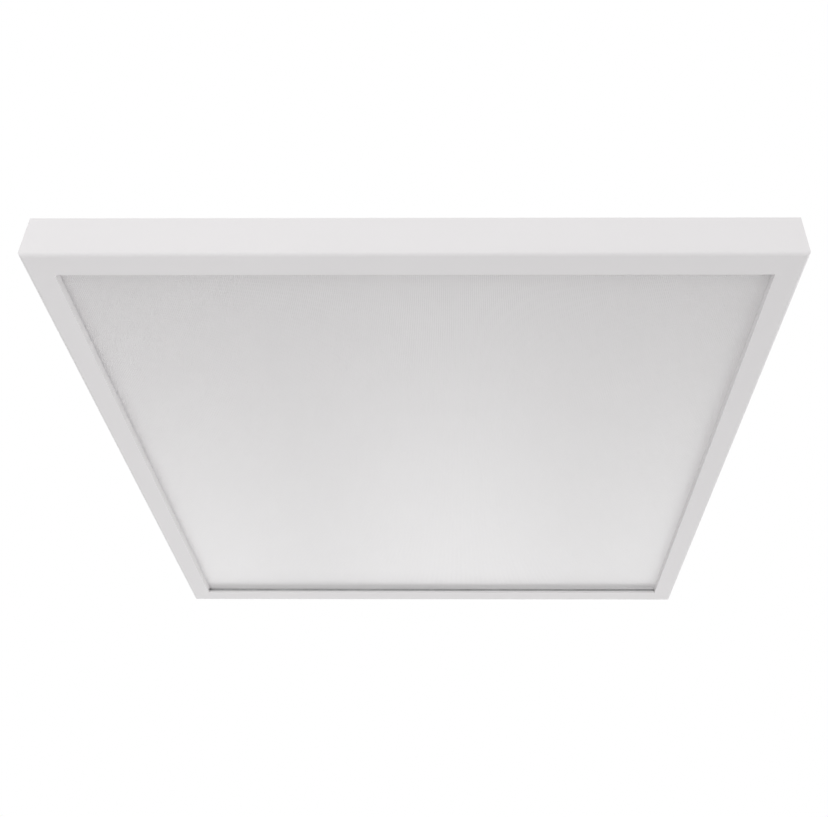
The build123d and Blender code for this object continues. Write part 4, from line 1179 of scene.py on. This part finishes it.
@dataclass
class Studio:
    """Floor, light and camera.

    Attributes:
        ambient: the grey that lights the object from all round.
        floor_depth: how far the floor is below the ceiling.
        floor_reach: how far the floor goes each way.
        floor_grey: the floor's own colour, on which the shadow shows.
        floor_white: the share of plain white in what is seen of the floor.
        lamps: the lamps.
        lens: the camera's focal length, in millimetres.
        sensor: the width of the camera's sensor, in millimetres.
        place: where the camera stands.
        heading: the way it looks.
        roll: how far it is tilted sideways, in degrees.
        shift: its shift, as shares of the frame's width.
    """

    ambient: Colour = (0.4, 0.398, 0.4)
    floor_depth: float = 2.6
    floor_reach: float = 400.0
    floor_grey: Colour = (0.5, 0.5, 0.5)
    floor_white: float = 0.92
    lamps: tuple[Lamp, ...] = (
        Lamp("front", 0.362, -25.0, -12.0, 66.0, 4.0),
        Lamp("near_right", 0.053, 35.0, -20.0, 60.0, 4.0),
        Lamp("low_left", 0.112, -70.0, -60.0, 40.0, 1.4),
        Lamp("right", 0.395, 90.0, -8.0, 60.0, 4.0),
        Lamp("far_left", 0.091, -155.0, -30.0, 38.0, 2.2),
        Lamp("far", 0.067, 180.0, -26.0, 38.0, 2.2),
        Lamp("far_right", 0.1, 155.0, -30.0, 38.0, 2.2),
        Lamp("above", 0.37, -40.0, 60.0, 90.0, 4.0),
    )
    lens: float = 41.97
    sensor: float = 36.0
    place: Place = (0.0353, -0.8188, -0.5719)
    heading: Place = (-0.0066, 0.8264, 0.5630)
    roll: float = 0.277
    shift: tuple[float, float] = (-0.0476, 0.0501)

    def seen(self, graph: Graph) -> Socket:
        """1 for the rays that see the background: from the camera, off gloss and through glass.

        Args:
            graph: the nodes that need it.

        Returns:
            The value's socket.
        """
        path = graph.add("ShaderNodeLightPath").outputs
        result = path["Is Camera Ray"]
        for name in ("Is Glossy Ray", "Is Transmission Ray"):
            result = graph.math("MAXIMUM", result, path[name])
        return result

    def world(self) -> None:
        """White to look at, and a plain grey as light."""
        world = bpy.data.worlds.new("studio")
        world.use_nodes = True
        graph = Graph(world.node_tree)
        light = graph.first("BACKGROUND")
        light.inputs["Color"].default_value = (*self.ambient, 1.0)
        white = graph.add("ShaderNodeBackground", {"Color": WHITE})
        inputs = {0: self.seen(graph), 1: light.outputs[0], 2: white.outputs[0]}
        mix = graph.add("ShaderNodeMixShader", inputs)
        graph.links.new(mix.outputs[0], graph.first("OUTPUT_WORLD").inputs[0])
        bpy.context.scene.world = world

    def floor_material(self) -> bpy.types.Material:
        """Mostly white to look at, and pale grey to the light.

        Returns:
            The material.
        """
        material = bpy.data.materials.new("pale_floor")
        material.use_nodes = True
        material.cycles.emission_sampling = "NONE"
        graph = Graph(material.node_tree)
        matt = graph.first("BSDF_PRINCIPLED")
        matt.inputs["Base Color"].default_value = (*self.floor_grey, 1.0)
        matt.inputs["Roughness"].default_value = 0.9
        white = graph.add("ShaderNodeEmission")
        share = graph.math("MULTIPLY", self.seen(graph), self.floor_white)
        mix = graph.add("ShaderNodeMixShader", {0: share, 1: matt.outputs[0], 2: white.outputs[0]})
        graph.links.new(mix.outputs[0], graph.first("OUTPUT_MATERIAL").inputs[0])
        return material

    def floor(self) -> None:
        """A wide pale floor that shows the object's soft shadow."""
        shape = bmesh.new()
        bmesh.ops.create_grid(shape, x_segments=1, y_segments=1, size=self.floor_reach)
        bmesh.ops.translate(shape, vec=(0, 0, -self.floor_depth), verts=shape.verts)
        mesh = bpy.data.meshes.new("floor")
        shape.to_mesh(mesh)
        shape.free()
        floor = bpy.data.objects.new("floor", mesh)
        bpy.context.scene.collection.objects.link(floor)
        mesh.materials.append(self.floor_material())
        floor.visible_shadow = False

    def camera(self) -> None:
        """The camera, below the near side and looking up."""
        data = bpy.data.cameras.new("camera")
        data.lens, data.sensor_width = self.lens, self.sensor
        data.shift_x, data.shift_y = self.shift
        data.clip_start = 0.05
        camera = bpy.data.objects.new("camera", data)
        camera.location = self.place
        camera.rotation_mode = "QUATERNION"
        level = Vector(self.heading).to_track_quat("-Z", "Y")
        camera.rotation_quaternion = level @ Quaternion((0, 0, 1), math.radians(self.roll))
        bpy.context.scene.collection.objects.link(camera)
        bpy.context.scene.camera = camera

    def build(self) -> None:
        """Sets up the whole studio."""
        self.world()
        self.floor()
        for lamp in self.lamps:
            lamp.build()
        self.camera()
        bpy.context.scene.view_settings.view_transform = "Standard"
        LOG.info("studio: %d lamps", len(self.lamps))


def inwards(middle: Vector) -> Vector:
    """The way from a rail to the middle of the luminaire, square to that rail.

    Args:
        middle: the middle of a fastener in the rail.

    Returns:
        A unit vector along X or Y.
    """
    if abs(middle.x) > abs(middle.y):
        return Vector((-math.copysign(1, middle.x), 0, 0))
    return Vector((0, -math.copysign(1, middle.y), 0))


def main() -> None:
    """Builds the dressed luminaire."""
    logging.basicConfig(level=logging.INFO, format="%(message)s")
    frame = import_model()
    dress_nodes(frame)

    up, far = (lambda middle: Vector((0, 0, 1))), (lambda middle: Vector((0, 1, 0)))
    for fasteners in (
        Fasteners("back_plate_screws", "module", Head.PAN, 1.25 * MM, 2.4 * MM, 1.4 * MM, up),
        Fasteners("driver_screws", "module", Head.PAN, 1.9 * MM, 3.6 * MM, 1.8 * MM, up),
        Fasteners("cord_clamp_screws", "module", Head.PAN, 1.4 * MM, 2.6 * MM, 1.4 * MM, up),
        Fasteners("end_rail_screws", "end_rail", Head.COUNTERSUNK, 1.5 * MM, 2.8 * MM, 1.5 * MM, far),
        Fasteners("key_grub_screws", "frame", Head.GRUB, 2.0 * MM, 2.0 * MM, 3.0 * MM, inwards),
        Fasteners("bracket_rivets", "frame", Head.RIVET, 1.6 * MM, 2.8 * MM, 1.2 * MM, up),
    ):
        fasteners.build()
    OpticalStack().build()
    Connector().build()
    Studio().build()


if __name__ == "__main__":
    main()
